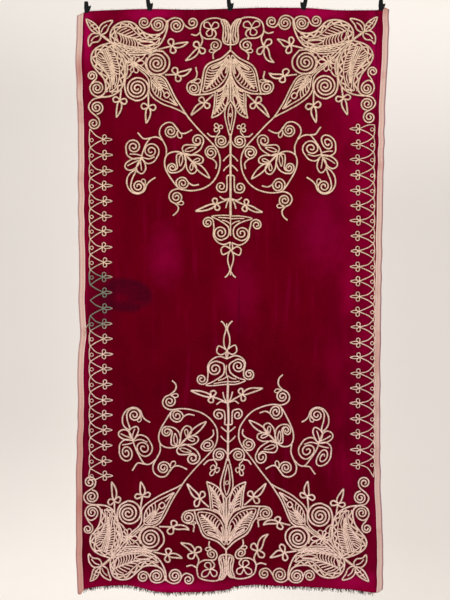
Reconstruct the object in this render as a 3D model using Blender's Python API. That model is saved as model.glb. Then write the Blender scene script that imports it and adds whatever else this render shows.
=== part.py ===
"""Braided velvet panel hung from five pinch clips.

The panel hangs toward -Z from the clips' tops and its face looks toward -Y.
The braid pattern is laid out on a drawing grid: the first number of a pair is the place
across, from the motif axis, and the second is the depth below the clips' tops.
"""

import math

import bmesh
import bpy
import numpy as np
from mathutils import Vector
from mathutils.bvhtree import BVHTree
from mathutils.geometry import delaunay_2d_cdt

# Driving dimensions, in metres unless a grid unit is named
GRID = 0.00327            # one unit of the drawing grid
CLOTH_T = 0.0020          # velvet with its pile
GAP = 0.00045             # between the braid and the velvet
LEAST_GAP = 0.00034       # the least that is left where the cloth curves
BRAID_H = 0.0020          # height of the braid at its ridge
CHORD = 1.35              # how far a curve may stray between its points, in grid units
SMALL_HOLE = 5.0          # eyes smaller than this close up, in square grid units
RIDGE_SNAP = 1.8          # ridges nearer than this share a point, in grid units
COIL_EASE = 0.56          # share of a coil's turns that the bodies keep
OUTLINE_TOL = 0.55        # how much of the outline's unevenness is smoothed away, in grid units
FLUTE_DEPTH = 0.0026      # soft vertical flutes of the hanging cloth
HEM_RIPPLE = 0.0055       # deeper ripples near the lower edge
MIRROR_V = 596.0          # the lower half repeats the upper, upside down

# Outline of the velvet with its selvedges, in grid units
LEFT_EDGE = [(8, -152.8), (16, -153.4), (59, -154.9), (100, -153.7), (130, -152.7), (200, -152.6), (229, -152.3),
             (262, -151.5), (309, -152.0), (327, -150.3), (345, -151.6), (374, -153.3), (400, -152.7),
             (459, -154.2), (489, -154.6), (560, -154.5), (594, -152.4)]
RIGHT_EDGE = [(6, 158.6), (40, 158.3), (60, 157.3), (80, 156.1), (100, 155.0), (149, 153.8), (200, 152.5),
              (250, 151.6), (309, 150.7), (400, 149.8), (450, 149.8), (500, 150.8), (550, 152.8), (589, 152.5)]
TOP_EDGE = [(-153, 14.6), (-148, 12.2), (-142.5, 10.4), (-112, 8.9), (-80.5, 8.0), (-40, 8.7), (-0.5, 7.7),
            (36, 6.7), (73, 7.0), (114, 9.4), (146, 9.2), (150.5, 7.8), (154.5, 6.6), (158.3, 8.6)]
FOOT_EDGE = [(-153, 594.5), (-150.5, 593.8), (-147.4, 587.6), (-120.5, 585.0), (-104.5, 584.4), (-89.5, 587.0),
             (-73.5, 591.0), (-58.5, 592.0), (-32.5, 591.6), (-0.5, 588.0), (3.5, 585.4), (22.5, 584.0),
             (54.5, 586.0), (87.5, 586.5), (119.5, 588.7), (146.3, 592.2), (149, 591.4), (152.4, 588.6)]
COLUMNS = [0, 0.035, 0.1, 0.17, 0.25, 0.33, 0.41, 0.49, 0.57, 0.65, 0.73, 0.81, 0.89, 0.965, 1]
ROWS = [0, 0.03, 0.14, 0.3, 0.48, 0.66, 0.84, 0.95, 1]

# Side borders: (stem line, heart, leaf tip, first unit, last unit, units, where the stem line starts and ends)
BORDERS = {
    1: (-140.8, -127.0, -118.0, 139.0, 475.0, 23, (-140.6, 128.0), (-135.6, 478.6)),
    -1: (143.6, 128.4, 119.6, 128.3, 463.4, 23, (143.6, 124.0), (143.0, 476.0)),
}

# How far each hand-laid quarter strays from the drawing: (across, down, moved across, moved down)
STRAY = {
    (1, 1): [(0, 0, 0, 0)],
    (-1, 1): [(0, 40, 0, 0), (0, 100, 0, 0), (0, 160, 0, 0), (0, 215, 0.6, 0.6), (0, 276, -0.5, 0),
              (-131, 33, 2.7, -2.3), (-38, 22, 3.1, -1.1), (-54, 24.5, 0.4, -2.6), (-72.5, 24, -1.3, -1.6),
              (-86.5, 21.4, -0.8, -1.8), (-138.6, 75, 3.6, -4.3), (-133.3, 87.2, 2.9, 0.6),
              (-133.7, 106.6, 3.1, -3.6), (-136.7, 122.6, 2.1, -6.3), (-73.5, 62.5, 1.7, -1.2),
              (-93.3, 87.4, 1.3, -2.3), (-49.5, 107.3, -1.0, 3.4), (-38.5, 157, 1.0, 0.4),
              (-60, 130, -1.2, -1.0), (-89, 157, 2.2, -3.0), (-92.2, 185.5, 1.3, 0), (-54.5, 196, 0, 3.0),
              (-57.5, 214.5, -0.7, 4.5), (-92.5, 132.5, -2.3, -5.8), (-42.2, 41.2, 4.6, -2.9),
              (-39.1, 67.8, -0.6, 4.6), (-84.3, 122.4, 1.2, -0.7), (-114.1, 116.6, 2.7, -2.6),
              (-36.9, 87.4, -0.7, -1.1), (-45.1, 59.8, -1.6, 1.9), (-18.8, 117, -1.6, 0.3),
              (-22.7, 221.8, 3.5, 2.2), (-9.7, 231.8, 1.5, 0.5), (-35.1, 210.2, -3.0, 1.1)],
    (1, -1): [(0, 43.4, -4.3, 1.2), (0, 50, -4.4, 2.0), (0, 135, -2.8, -3.4), (0, 165, -2.4, -1.0),
              (0, 183, -2.0, 4.6), (0, 215, -2.6, 2.0), (0, 240, -3.6, 3.0), (0, 276, -3.8, 0.7),
              (-131, 33, 0.8, 2.7), (-143.8, 18.6, 4.0, 2.6), (-86.3, 21.5, -0.9, 1.2), (-72.5, 24, -1.3, 2.9),
              (-54.1, 24.7, -1.4, 3.7), (-38.1, 21.8, -4.1, 4.6), (-138.6, 75, -4.0, 7.3), (-133.3, 87.2, -5.0, 2.4),
              (-133.7, 106.6, -5.0, 6.3), (-136.7, 122.6, -3.9, 7.9), (-73.5, 62.5, -7.0, 3.8),
              (-93.3, 87.4, -9.0, 3.6), (-49.5, 107.3, -3.3, 0.3), (-38.5, 157, -5.3, 1.7), (-60, 130, -7.2, 1.3),
              (-89, 157, -8.2, 0.4), (-92.2, 185.5, -4.0, 3.5), (-54.5, 196, -6.7, 0.7), (-57.5, 214.5, -0.7, -1.5),
              (-42.2, 41.2, -6.0, 2.5), (-39.1, 67.8, -2.4, 0.8), (-84.3, 122.4, -5.5, 7.1),
              (-114.1, 116.6, -4.7, 1.3), (-139.1, 60, -1.0, 1.3), (-103.5, 21, -3.7, 3.3),
              (-36.9, 87.4, -5.3, 8.0), (-18.8, 117, -5.0, 1.7), (-9.1, 140.2, -2.0, -1.8),
              (-35.1, 210.2, -4.7, 3.9), (-9.7, 231.8, -6.0, 3.8), (-22.7, 221.8, -6.1, 4.1),
              (-19.2, 28.2, -1.3, 0.5), (-45.1, 59.8, -4.7, 5.5)],
    (-1, -1): [(0, 43.4, -4.3, 1.2), (0, 50, -4.4, 2.0), (0, 135, -2.8, -3.4), (0, 165, -2.4, -1.0),
               (0, 183, -2.0, 4.6), (0, 215, -2.6, 2.0), (0, 240, -3.6, 3.0), (0, 276, -3.8, 0.7),
               (-131, 33, -6.6, 2.7), (-38.1, 21.8, -4.3, -1.5), (-54.1, 24.7, -4.6, 3.0), (-72.5, 24, -6.3, 3.4),
               (-86.3, 21.5, -7.5, 0.2), (-138.6, 75, -2.4, 6.3), (-133.3, 87.2, -2.1, 2.9),
               (-133.7, 106.6, -4.0, 7.2), (-136.7, 122.6, -2.9, 8.3), (-73.5, 62.5, -6.3, 3.8),
               (-93.3, 87.4, -4.0, 6.4), (-49.5, 107.3, -4.3, 0.2), (-38.5, 157, 0, -1.7), (-60, 130, -4.5, 1.3),
               (-89, 157, -1.2, 3.3), (-92.2, 185.5, -6.0, 3.5), (-54.5, 196, -2.3, -4.3), (-57.5, 214.5, -5.3, -7.5),
               (-92.5, 132.5, -8.0, 9.0), (-42.2, 41.2, -2.7, 1.9), (-39.1, 67.8, -6.5, -4.2),
               (-84.3, 122.4, -7.0, 6.6), (-114.1, 116.6, -1.2, 8.4), (-36.9, 87.4, -1.7, 3.7),
               (-18.8, 117, -3.6, 1.7), (-9.1, 140.2, -1.2, -1.8), (-35.1, 210.2, -3.0, 1.5),
               (-9.7, 231.8, -1.9, 0.8), (-22.7, 221.8, -4.2, -1.2), (-19.2, 28.2, -6.0, -2.0),
               (-45.1, 59.8, -7.4, -2.9)],
}

# Clips: (across, depth of the jaw's foot, lean in degrees, side of the prong)
CLIPS = [(-144.2, 12.1, 0, 1), (-81.0, 9.9, -9, 1), (-0.6, 9.9, -7, 1), (73.0, 9.1, 12, -1), (149.9, 9.9, 3, 1)]
CLIP_T = 0.0014
# A clip's leaf from its jaw up: (height above the jaw's foot, inner face off the middle, half width, reach of
# the shoulder on the prong's side)
CLIP_LEAF = [(0.0, 0.00145, 0.0058, 0.0068), (0.0105, 0.0015, 0.0064, 0.0122), (0.0165, 0.0021, 0.0070, 0.0140),
             (0.0222, 0.0031, 0.0069, 0.0152), (0.0230, 0.0032, 0.0069, 0.0072), (0.0370, 0.0056, 0.0060, 0.0060)]
PIN_R = 0.0015
PIN_UP = 0.0165           # the pin's height above the jaw's foot

# Ravelled lower edge
FRAY_BACK = 0.0013        # height of the strip that the locks' roots share
FRAY_T = 0.0012
FRAY_LOCKS = 30
FRAY_LONG = 0.0100

CW, CCW = 1, -1
TAU = 2 * math.pi

for left_over in list(bpy.data.objects):
    bpy.data.objects.remove(left_over)


# Plane geometry of the braid

def thin_out(p, tol=CHORD):
    """Drop the points of a curve that lie within tol of the chords between the others."""
    if len(p) < 3:
        return p
    d = p[-1] - p[0]
    length = math.hypot(*d)
    if length < 1e-6:
        off = np.hypot(*(p - p[0]).T)
    else:
        off = np.abs((p - p[0]) @ np.array([-d[1], d[0]])) / length
    i = int(off.argmax())
    if off[i] < tol:
        return p[[0, -1]]
    return np.vstack([thin_out(p[:i + 1], tol)[:-1], thin_out(p[i:], tol)])


def thin_ring(p, tol=CHORD):
    return thin_out(np.vstack([p, p[:1]]), tol)[:-1]


def unit_rows(d):
    return d / np.maximum(np.hypot(d[:, 0], d[:, 1]), 1e-9)[:, None]


def ribbon(p, closed, half):
    """The two mitred sides of a ribbon round a polyline."""
    before, after = np.roll(p, 1, 0), np.roll(p, -1, 0)
    if not closed:
        before[0], after[-1] = 2 * p[0] - p[1], 2 * p[-1] - p[-2]
    u, w = unit_rows(p - before), unit_rows(after - p)
    t = unit_rows(u + w + 1e-7)
    n = np.stack([-t[:, 1], t[:, 0]], 1)
    lean = np.clip((n * np.stack([-u[:, 1], u[:, 0]], 1)).sum(1), 0.6, 1)
    side = n * (half / lean)[:, None]
    return p + side, p - side


def cross2(a, b):
    return a[..., 0] * b[..., 1] - a[..., 1] * b[..., 0]


def inside_triangles(points, tris):
    """Which points lie in at least one triangle."""
    out = np.zeros(len(points), bool)
    a, b, c = tris[:, 0], tris[:, 1], tris[:, 2]
    for k in range(0, len(points), 400):
        p = points[k:k + 400, None, :]
        s = cross2(b - a, p - a), cross2(c - b, p - b), cross2(a - c, p - c)
        low, high = np.minimum(np.minimum(*s[:2]), s[2]), np.maximum(np.maximum(*s[:2]), s[2])
        out[k:k + 400] = ((low >= 0) | (high <= 0)).any(1)
    return out


def inside_loops(points, loops):
    """Which points lie inside the outline, by counting crossings."""
    a = np.vstack(loops)
    b = np.vstack([np.roll(loop, -1, 0) for loop in loops])
    out = np.zeros(len(points), bool)
    for k in range(0, len(points), 400):
        p = points[k:k + 400, None, :]
        spans = (a[:, 1] > p[..., 1]) != (b[:, 1] > p[..., 1])
        rise = np.where(b[:, 1] == a[:, 1], 1e-12, b[:, 1] - a[:, 1])
        at = a[:, 0] + (p[..., 1] - a[:, 1]) * (b[:, 0] - a[:, 0]) / rise
        out[k:k + 400] = (spans & (p[..., 0] < at)).sum(1) % 2 == 1
    return out


def reach(points, loops):
    """Distance of each point to the outline."""
    a = np.vstack(loops)
    d = np.vstack([np.roll(loop, -1, 0) for loop in loops]) - a
    d2 = np.maximum((d ** 2).sum(1), 1e-12)
    out = np.empty(len(points))
    for k in range(0, len(points), 400):
        q = points[k:k + 400, None, :] - a
        t = np.clip((q * d).sum(2) / d2, 0, 1)
        out[k:k + 400] = np.hypot(*np.moveaxis(q - t[..., None] * d, 2, 0)).min(1)
    return out


def crosses(p, q, loops):
    """Whether the segment from p to q crosses the outline."""
    a = np.vstack(loops)
    b = np.vstack([np.roll(loop, -1, 0) for loop in loops])
    d, e = q - p, b - a
    one = cross2(d, a - p) * cross2(d, b - p) <= 0
    two = cross2(e, p - a) * cross2(e, q - a) <= 0
    return bool((one & two).any())


def triangulate(points, edges):
    """Delaunay triangles that keep the edges; with each vertex's first source."""
    v, _, f, source, _, _ = delaunay_2d_cdt([Vector(p) for p in points], edges, [], 0, 1e-6, True)
    v = np.array([tuple(p) for p in v])
    f = np.array([t for t in f if len(t) == 3], int)
    area = cross2(v[f[:, 1]] - v[f[:, 0]], v[f[:, 2]] - v[f[:, 0]])
    f[area < 0] = f[area < 0][:, ::-1]
    return v, f[np.abs(area) > 1e-9], source


def shape_edges(shapes):
    """All the outline edges of a list of closed rings, as points and index pairs."""
    points, edges = [], []
    for ring in shapes:
        n, k = len(ring), sum(len(r) for r in points)
        points.append(ring)
        edges += [(k + i, k + (i + 1) % n) for i in range(n)]
    return np.vstack(points), edges


def united(strands):
    """Outline loops of all the strands laid over each other."""
    shapes, tris = [], []
    for p, closed, width, filled in strands:
        if filled:
            shapes.append(p)
            tris += [(p.mean(0), a, b) for a, b in zip(p, np.roll(p, -1, 0))]
            continue
        left, right = ribbon(p, closed, width / 2)
        shapes += [left, right] if closed else [np.vstack([left, right[::-1]])]
        last = len(p) if closed else len(p) - 1
        for i in range(last):
            j = (i + 1) % len(p)
            tris += [(left[i], left[j], right[j]), (left[i], right[j], right[i])]
    for size in (0.5, 0.7, 0.9, 1.1, 1.3, 1.5):
        points, edges = shape_edges(shapes)
        v, f, _ = triangulate(points, edges)
        f = f[inside_triangles(v[f].mean(1), np.array(tris))]
        loops, pinches = trace(v, f)
        if not len(pinches):
            break
        done = []
        for c in pinches:
            if all(math.hypot(*(c - e)) > size for e in done):
                done.append(c)
                dot = c + size * np.array([(1, 0.1), (0.1, 1), (-0.9, 0.2), (-0.1, -1.1)])
                shapes.append(dot)
                tris += [tuple(dot[:3]), (dot[0], dot[2], dot[3])]
    return loops


def joined(strands):
    """The strands with a short stitch to each piece that would come loose, and their outline."""
    loops = united(strands)
    while True:
        pieces = sorted((p for p in loops if ring_area(p) > 0), key=ring_area)
        if len(pieces) == 1:
            return strands, loops
        rest = np.vstack(pieces[1:])
        apart = np.hypot(*np.moveaxis(pieces[0][:, None] - rest[None], 2, 0))
        i, k = np.unravel_index(apart.argmin(), apart.shape)
        a, b = pieces[0][i], rest[k]
        d = (b - a) / max(math.hypot(*(b - a)), 0.2)
        strands = strands + [(np.array([a - d, b + d]), False, 1.6, False)]
        loops = united(strands)


def trace(v, f):
    """Outline loops of the triangles, and the places where the outline touches itself."""
    used = {(a, b) for t in f for a, b in zip(t, np.roll(t, -1))}
    onward = {}
    for a, b in used:
        if (b, a) not in used:
            onward.setdefault(a, []).append(b)
    pinches = [v[a] for a, out in onward.items() if len(out) > 1]
    loops, seen = [], set()
    for start in onward:
        loop, at = [], start
        while at not in seen:
            seen.add(at)
            loop.append(at)
            at = onward[at][0]
        if len(loop) > 2:
            loops.append(v[loop])
    return loops, pinches


def ring_area(p):
    q = np.roll(p, -1, 0)
    return 0.5 * float(cross2(p, q).sum())


def tidied(loops, tol):
    """Drop small eyes, then every outline point that the shape can do without."""
    loops = [p for p in loops if ring_area(p) > 0 or ring_area(p) < -SMALL_HOLE]
    moved = True
    while moved:
        moved = False
        every = np.vstack(loops)
        for k, p in enumerate(loops):
            keep, free = np.ones(len(p), bool), np.ones(len(p), bool)
            a, b = np.roll(p, 1, 0), np.roll(p, -1, 0)
            d = b - a
            off = np.abs(cross2(d, p - a)) / np.maximum(np.hypot(d[:, 0], d[:, 1]), 1e-6)
            for i in np.argsort(off):
                if off[i] > tol or keep.sum() < 5:
                    break
                tri = np.array([[a[i], p[i], b[i]]])
                near = every[(np.abs(every - p[i]).max(1) < 40) & ~same(every, tri[0])]
                if free[i] and free[(i + 1) % len(p)] and not inside_triangles(near, tri).any():
                    keep[i] = False
                    free[[i - 1, i, (i + 1) % len(p)]] = False
            if not keep.all():
                loops[k], moved = p[keep], True
                every = np.vstack(loops)
    return loops


def same(points, few):
    """Which points are one of the few."""
    return (np.abs(points[:, None, :] - few[None]).max(2) < 1e-9).any(1)


def ridges(strands, loops):
    """Centre lines for the braid's raised middle: points and edges that keep clear of the outline."""
    points, edges = [], []
    for p, closed, width, filled in strands:
        if filled:
            p = p[[0, len(p) // 2]]
            p = trimmed(p, 2.0) if math.hypot(*(p[1] - p[0])) > 9 else p.mean(0)[None]
        elif len(p) == 2 and math.hypot(*(p[1] - p[0])) < 9:
            p = p.mean(0)[None]
        elif not closed:
            p = trimmed(p, 0.6 * width)
        ring = list(p) + ([p[0]] if closed and not filled else [])
        index = []
        for q in ring:
            near = [k for k, r in enumerate(points) if abs(r[0] - q[0]) + abs(r[1] - q[1]) < RIDGE_SNAP]
            index.append(near[0] if near else len(points))
            if not near:
                points.append(q)
        edges += [(a, b) for a, b in zip(index, index[1:]) if a != b]
    points = np.array(points)
    good = inside_loops(points, loops) & (reach(points, loops) > 0.33)
    edges = [e for e in edges if good[list(e)].all() and not crosses(points[e[0]], points[e[1]], loops)]
    order = np.cumsum(good) - 1
    return points[good], [(int(order[a]), int(order[b])) for a, b in edges]


def trimmed(p, by):
    """A polyline drawn back a little at both ends."""
    q = p.copy()
    for end, inner in ((0, 1), (-1, -2)):
        d = p[inner] - p[end]
        length = math.hypot(*d)
        q[end] = p[end] + d * min(by, 0.4 * length) / length
    return q


def split_chords(v, f, last):
    """Give every inner edge that runs from outline to outline a middle point of its own."""
    v, f = list(v), [tuple(t) for t in f]
    while True:
        owner = {}
        for k, t in enumerate(f):
            for a, b in zip(t, t[1:] + t[:1]):
                owner[(a, b)] = k
        busy, cut = set(), []
        for (a, b), k in owner.items():
            other = owner.get((b, a))
            if a < b and other is not None and a < last and b < last and not {k, other} & busy:
                busy |= {k, other}
                cut.append((a, b, k, other))
        if not cut:
            return np.array(v), f
        for a, b, k, other in cut:
            m = len(v)
            v.append((v[a] + v[b]) / 2)
            c = next(i for i in f[k] if i not in (a, b))
            e = next(i for i in f[other] if i not in (a, b))
            f += [(a, m, c), (m, b, c), (b, m, e), (m, a, e)]
        f = [t for k, t in enumerate(f) if k not in busy]


def tent(strands):
    """A braid body's faces: an outline at the base and ridges above it."""
    strands, loops = joined(strands)
    loops = tidied(loops, OUTLINE_TOL)
    base, edges = shape_edges(loops)
    n = len(base)
    v, f, _ = triangulate(base, edges)
    if len(v) != n:
        raise ValueError("the outline crosses itself")
    bottom = f[inside_loops(v[f].mean(1), loops)]
    mid, spine = ridges(strands, loops)
    top, f, source = triangulate(np.vstack([base, mid]), edges + [(a + n, b + n) for a, b in spine])
    f = f[inside_loops(top[f].mean(1), loops)]
    order = sorted(range(len(top)), key=lambda k: min(source[k]) if len(source[k]) else 10 ** 9)
    back = np.empty(len(top), int)
    back[order] = np.arange(len(top))
    top, f = split_chords(top[order], back[f], n)
    height = BRAID_H * np.clip(reach(top, loops) / 0.9, 0.4, 1)
    height[:n] = 0
    return loops, top, height, np.array(f), bottom


# Curves of the drawing

def smooth(points, closed=False, per=6):
    """A Catmull-Rom curve through the points."""
    p = np.asarray(points, float)
    if len(p) < 3:
        t = np.linspace(0, 1, per + 1)[:, None]
        return p[0] + (p[-1] - p[0]) * t
    q = np.vstack([p[-1], p, p[0], p[1]]) if closed else np.vstack([2 * p[0] - p[1], p, 2 * p[-1] - p[-2]])
    t = np.linspace(0, 1, per, endpoint=False)[:, None]
    out = []
    for i in range(len(q) - 3):
        a, b, c, d = q[i:i + 4]
        out.append(0.5 * (2 * b + (c - a) * t + (2 * a - 5 * b + 4 * c - d) * t ** 2
                          + (3 * b - a - 3 * c + d) * t ** 3))
    if not closed:
        out.append(p[-1:])
    return np.vstack(out)


def coil(start, centre, turns, hand, inner=1.7):
    """A spiral from start inwards round its centre, wound as loosely as a body of braid needs."""
    c = np.asarray(centre, float)
    d = np.asarray(start, float) - c
    turns = max(COIL_EASE * turns, 1.15)
    t = np.linspace(0, 1, max(5, round((6 if math.hypot(*d) < 8 else 8) * turns)) + 1)
    r = math.hypot(*d) + (inner - math.hypot(*d)) * t ** 0.92
    a = math.atan2(d[1], d[0]) + hand * TAU * turns * t
    return np.stack([c[0] + r * np.cos(a), c[1] + r * np.sin(a)], 1)


def swirl(path, centre, turns, hand):
    """A stem whose last point starts a spiral."""
    return np.vstack([thin_out(smooth(path))[:-1], coil(path[-1], centre, turns, hand)])


def along(path, share):
    """The point at a share of a path's length."""
    p = np.asarray(path, float)
    d = np.concatenate([[0], np.cumsum(np.hypot(*np.diff(p, axis=0).T))])
    return np.array([np.interp(share * d[-1], d, p[:, 0]), np.interp(share * d[-1], d, p[:, 1])])


class Draft:
    """Strands of braid on the drawing grid: (points, closed, width, filled)."""

    def __init__(self):
        self.strands = []

    def add(self, points, closed=False, width=1.8, filled=False):
        self.strands.append((np.asarray(points, float), closed, width, filled))

    def line(self, points, width=1.8):
        self.add(thin_out(smooth(points)), False, width)

    def ring(self, points, width=1.8):
        self.add(thin_ring(smooth(points, True)), True, width)

    def band(self, points, inset, width):
        """A broad closed band beside a curve, on its inner side where inset is positive."""
        p = thin_ring(smooth(points, True), 0.2)
        sides = sorted(ribbon(p, True, abs(inset)), key=lambda q: abs(ring_area(q)))
        self.add(thin_ring(sides[0 if inset > 0 else 1]), True, width)

    def plate(self, points):
        """A filled shape; its ridge runs from the first point to the one opposite."""
        self.add(points, True, 0, True)

    def swirl(self, path, centre, turns, hand, width=1.8):
        self.add(swirl(path, centre, turns, hand), False, width)

    def coil(self, start, centre, turns, hand, width=1.8):
        self.add(coil(start, centre, turns, hand), False, width)

    def drop(self, base, tip, size):
        """A small loop, closed up, from its base to a round tip."""
        b = np.asarray(base, float)
        d = np.asarray(tip, float) - b
        n = np.array([-d[1], d[0]]) / math.hypot(*d) * (size + 1.2) / 2
        d = d * (1 + 0.7 / math.hypot(*d))
        self.plate([b, b + d * 0.62 + n, b + d * 1.06, b + d * 0.62 - n])

    def leaf(self, base, tip, size, bow=0.0):
        """A pointed leaf, closed up."""
        b = np.asarray(base, float)
        d = np.asarray(tip, float) - b
        n = np.array([-d[1], d[0]]) / math.hypot(*d)
        mid, side = b + d * 0.42 + n * bow, n * (size + 1.6) / 2
        self.plate([b, mid + side, b + d * 1.04, mid - side])

    def sprig(self, stem, tip, size=5.2, across=5.0, bow=0.0):
        """A stem with two side loops at its end and a leaf beyond."""
        heart, t = np.asarray(stem[-1], float), np.asarray(tip, float)
        d = (t - heart) / math.hypot(*(t - heart))
        side = np.array([-d[1], d[0]])
        self.line(stem, 1.8)
        for s in (1, -1):
            self.drop(heart - d * 0.3, heart + side * s * size * 1.35, size)
        self.leaf(heart - d * 0.8, t, across, bow)

    def hatch(self, vein, edge, count, width=1.5):
        """Fishbone bars from a vein to an edge."""
        for i in range(count):
            k = 0.1 + 0.8 * (i + 0.5) / count
            self.add([along(vein, k), along(edge, k)], False, width)


# Motifs of one quarter, laid out for the upper left

def corner_sprig(d):
    d.leaf((-131.1, 33), (-143.8, 18.6), 7.2)
    d.plate([(-129.7, 33.8), (-131.5, 26), (-126.1, 21), (-117.1, 19.6), (-121.2, 26.6), (-123.7, 31.6)])
    d.plate([(-129.3, 34.2), (-130.3, 38.4), (-132.9, 41.6), (-138.1, 42.6), (-141.3, 46.4), (-143, 37.6),
             (-138.5, 31.8)])
    d.line([(-131.3, 32.6), (-118.5, 42.2)], 2.9)


def upper_boteh(d):
    d.band([(-118.5, 41.4), (-120.2, 36.6), (-119.5, 30.6), (-115.9, 25.3), (-110.3, 21.9), (-103.5, 20.8),
            (-96.9, 22.4), (-91.1, 27.8), (-86.1, 32), (-80.9, 33.8), (-75.1, 34), (-69.7, 32.6), (-66.1, 29.2),
            (-64.5, 24.4), (-63.1, 19.6), (-63.2, 27), (-65.9, 35.6), (-69.9, 42.6), (-75.1, 47), (-84.5, 48.8),
            (-94.5, 48.6), (-103.5, 47), (-111.9, 44.6)], 1.4, 4.2)
    vein = smooth([(-112.9, 36.4), (-106.5, 33.2), (-99.5, 35.6), (-90.9, 39.4), (-80.5, 41)])
    d.add(vein, False, 1.9)
    d.hatch(vein, smooth([(-115.7, 32), (-112.7, 27.6), (-108.5, 25.3), (-103.5, 24.8), (-98.7, 26),
                          (-94.1, 30.8), (-88.5, 35.2), (-83.5, 37)]), 2)
    d.hatch(vein, smooth([(-116.1, 37.4), (-114.3, 40.8), (-108.5, 42.2), (-100.5, 43.8), (-91.5, 45),
                          (-83.5, 44.8), (-77.5, 43)]), 2)


def side_boteh(d):
    d.band([(-118.9, 42.2), (-124.5, 43.2), (-130.5, 45.1), (-135.8, 48.7), (-138.7, 53.6), (-139.1, 60),
            (-136.2, 66.4), (-131.7, 71.8), (-127.5, 76.4), (-125.3, 81), (-124.5, 86.4), (-125.5, 91.4),
            (-128.9, 95), (-132.7, 96.2), (-125.9, 96.2), (-119.9, 95.2), (-114.3, 92.6), (-109.9, 88.6),
            (-107.1, 83), (-105.9, 75.6), (-106.1, 68), (-107.8, 59.8), (-111.3, 52.2), (-115.5, 46.4)], 1.4, 4.2)
    vein = smooth([(-123.9, 50.4), (-126.1, 56.6), (-123.1, 63.4), (-118.9, 71), (-116.5, 81)])
    d.add(vein, False, 1.9)
    d.hatch(vein, smooth([(-129.1, 47.8), (-133.5, 51), (-135.3, 56.6), (-134.5, 62.4), (-130.5, 68.2),
                          (-125.9, 73.4), (-122.5, 79.4)]), 2)
    d.hatch(vein, smooth([(-119.5, 46.4), (-115.1, 52.6), (-111.9, 59), (-109.9, 66), (-109.3, 72.6),
                          (-110.3, 79.4)]), 2)


def palmette_heart(d):
    d.line([(-118.5, 42), (-108.9, 50.8), (-96.7, 61.8)], 3.2)
    d.plate([(-95.7, 61.8), (-99.9, 54.6), (-94.1, 50.5), (-83.5, 50.9), (-71.9, 48.0), (-80.6, 53.9),
             (-87, 59.4)])
    d.plate([(-96.4, 62.6), (-97.1, 70), (-100.9, 76.8), (-105.6, 79.6), (-104.4, 72), (-105.2, 63),
             (-102.6, 56.8)])
    d.drop((-95.9, 62), (-87.1, 61.6), 4.6)
    d.drop((-96.5, 62.4), (-93.3, 71.2), 4.4)


def diamond_leaf(d):
    d.line([(-96.1, 60.8), (-89.1, 65.4), (-83.9, 70), (-78.5, 73.8)], 3.4)
    d.band([(-78.9, 76.4), (-71.1, 76.7), (-65.9, 80.6), (-61.7, 89), (-55.9, 100.4), (-53.1, 104.6),
            (-60.5, 101.8), (-68.5, 98.6), (-75.1, 93.8), (-78.5, 87.6), (-79.1, 81.6)], -1.6, 4.4)
    d.line([(-53.5, 103.6), (-48.5, 109), (-44.1, 113.8)], 3.2)
    vein = smooth([(-77.9, 78.6), (-72.5, 84.6), (-65.5, 92.6)])
    d.add(vein, False, 1.7)


def great_spirals(d):
    d.swirl([(-67.5, 50.4), (-61.5, 58), (-61.9, 66.6), (-67.1, 72.4), (-73.9, 74)], (-73.7, 62.6), 3.6, CW)
    d.line([(-81.9, 54.6), (-75.5, 50.4), (-67.5, 50.4)])
    d.line([(-83.7, 56.8), (-85.3, 62.4), (-83.3, 68.4), (-78.9, 72.6), (-73.9, 74)])
    d.swirl([(-105.3, 77), (-105.7, 87), (-102.7, 95.4), (-95.1, 99.8)], (-93.3, 87.4), 4.1, CCW)


def top_scroll(d):
    d.swirl([(-63.9, 21.6), (-66.9, 18.4), (-72.2, 17), (-77.7, 18.6), (-80, 22.4), (-82.1, 25.6),
             (-86.1, 27.1)], (-86.3, 21.5), 1.75, CW)
    d.coil((-78.9, 22.8), (-72.5, 23.9), 2.15, CCW)
    d.swirl([(-63.9, 24), (-61.4, 19.3), (-55.3, 17), (-49.5, 18.8), (-45.6, 24.4), (-40.5, 27.7), (-35.1, 26.2)],
            (-38.1, 21.8), 1.6, CCW)
    d.coil((-47.1, 23.4), (-54.1, 24.7), 2.15, CW)


def side_scroll(d):
    d.swirl([(-126.5, 95.8), (-132.7, 95.9), (-138.2, 93), (-140.6, 87), (-138.2, 81.8), (-134.7, 78.4)],
            (-138.6, 75), 1.7, CCW)
    d.coil((-138.7, 83.2), (-133.3, 87.2), 2.1, CW)
    d.swirl([(-126.5, 95.8), (-136.5, 98.2), (-140.9, 102.6), (-141.7, 107), (-139.3, 111), (-135.3, 114.5),
             (-131.9, 118), (-130.7, 122)], (-136.7, 122.6), 1.75, CW)
    d.coil((-133.7, 113.4), (-133.7, 106.6), 2.0, CCW)


def corner_sprigs(d):
    d.sprig([(-71.9, 48.6), (-65.5, 46.8), (-58.5, 45.2)], (-42.2, 41.2), 5.4, 4.6, 1.0)
    d.sprig([(-65.5, 74), (-59.5, 73.8), (-53.9, 73.6)], (-39.1, 67.8), 5.4, 4.8, 1.6)
    d.sprig([(-82.1, 92), (-82.1, 99), (-82, 106)], (-84.3, 122.4), 5.4, 5.0, -0.6)
    d.sprig([(-109.3, 89), (-109.9, 94), (-110.5, 99.6)], (-114.1, 116.6), 5.2, 4.8, -0.8)


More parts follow.
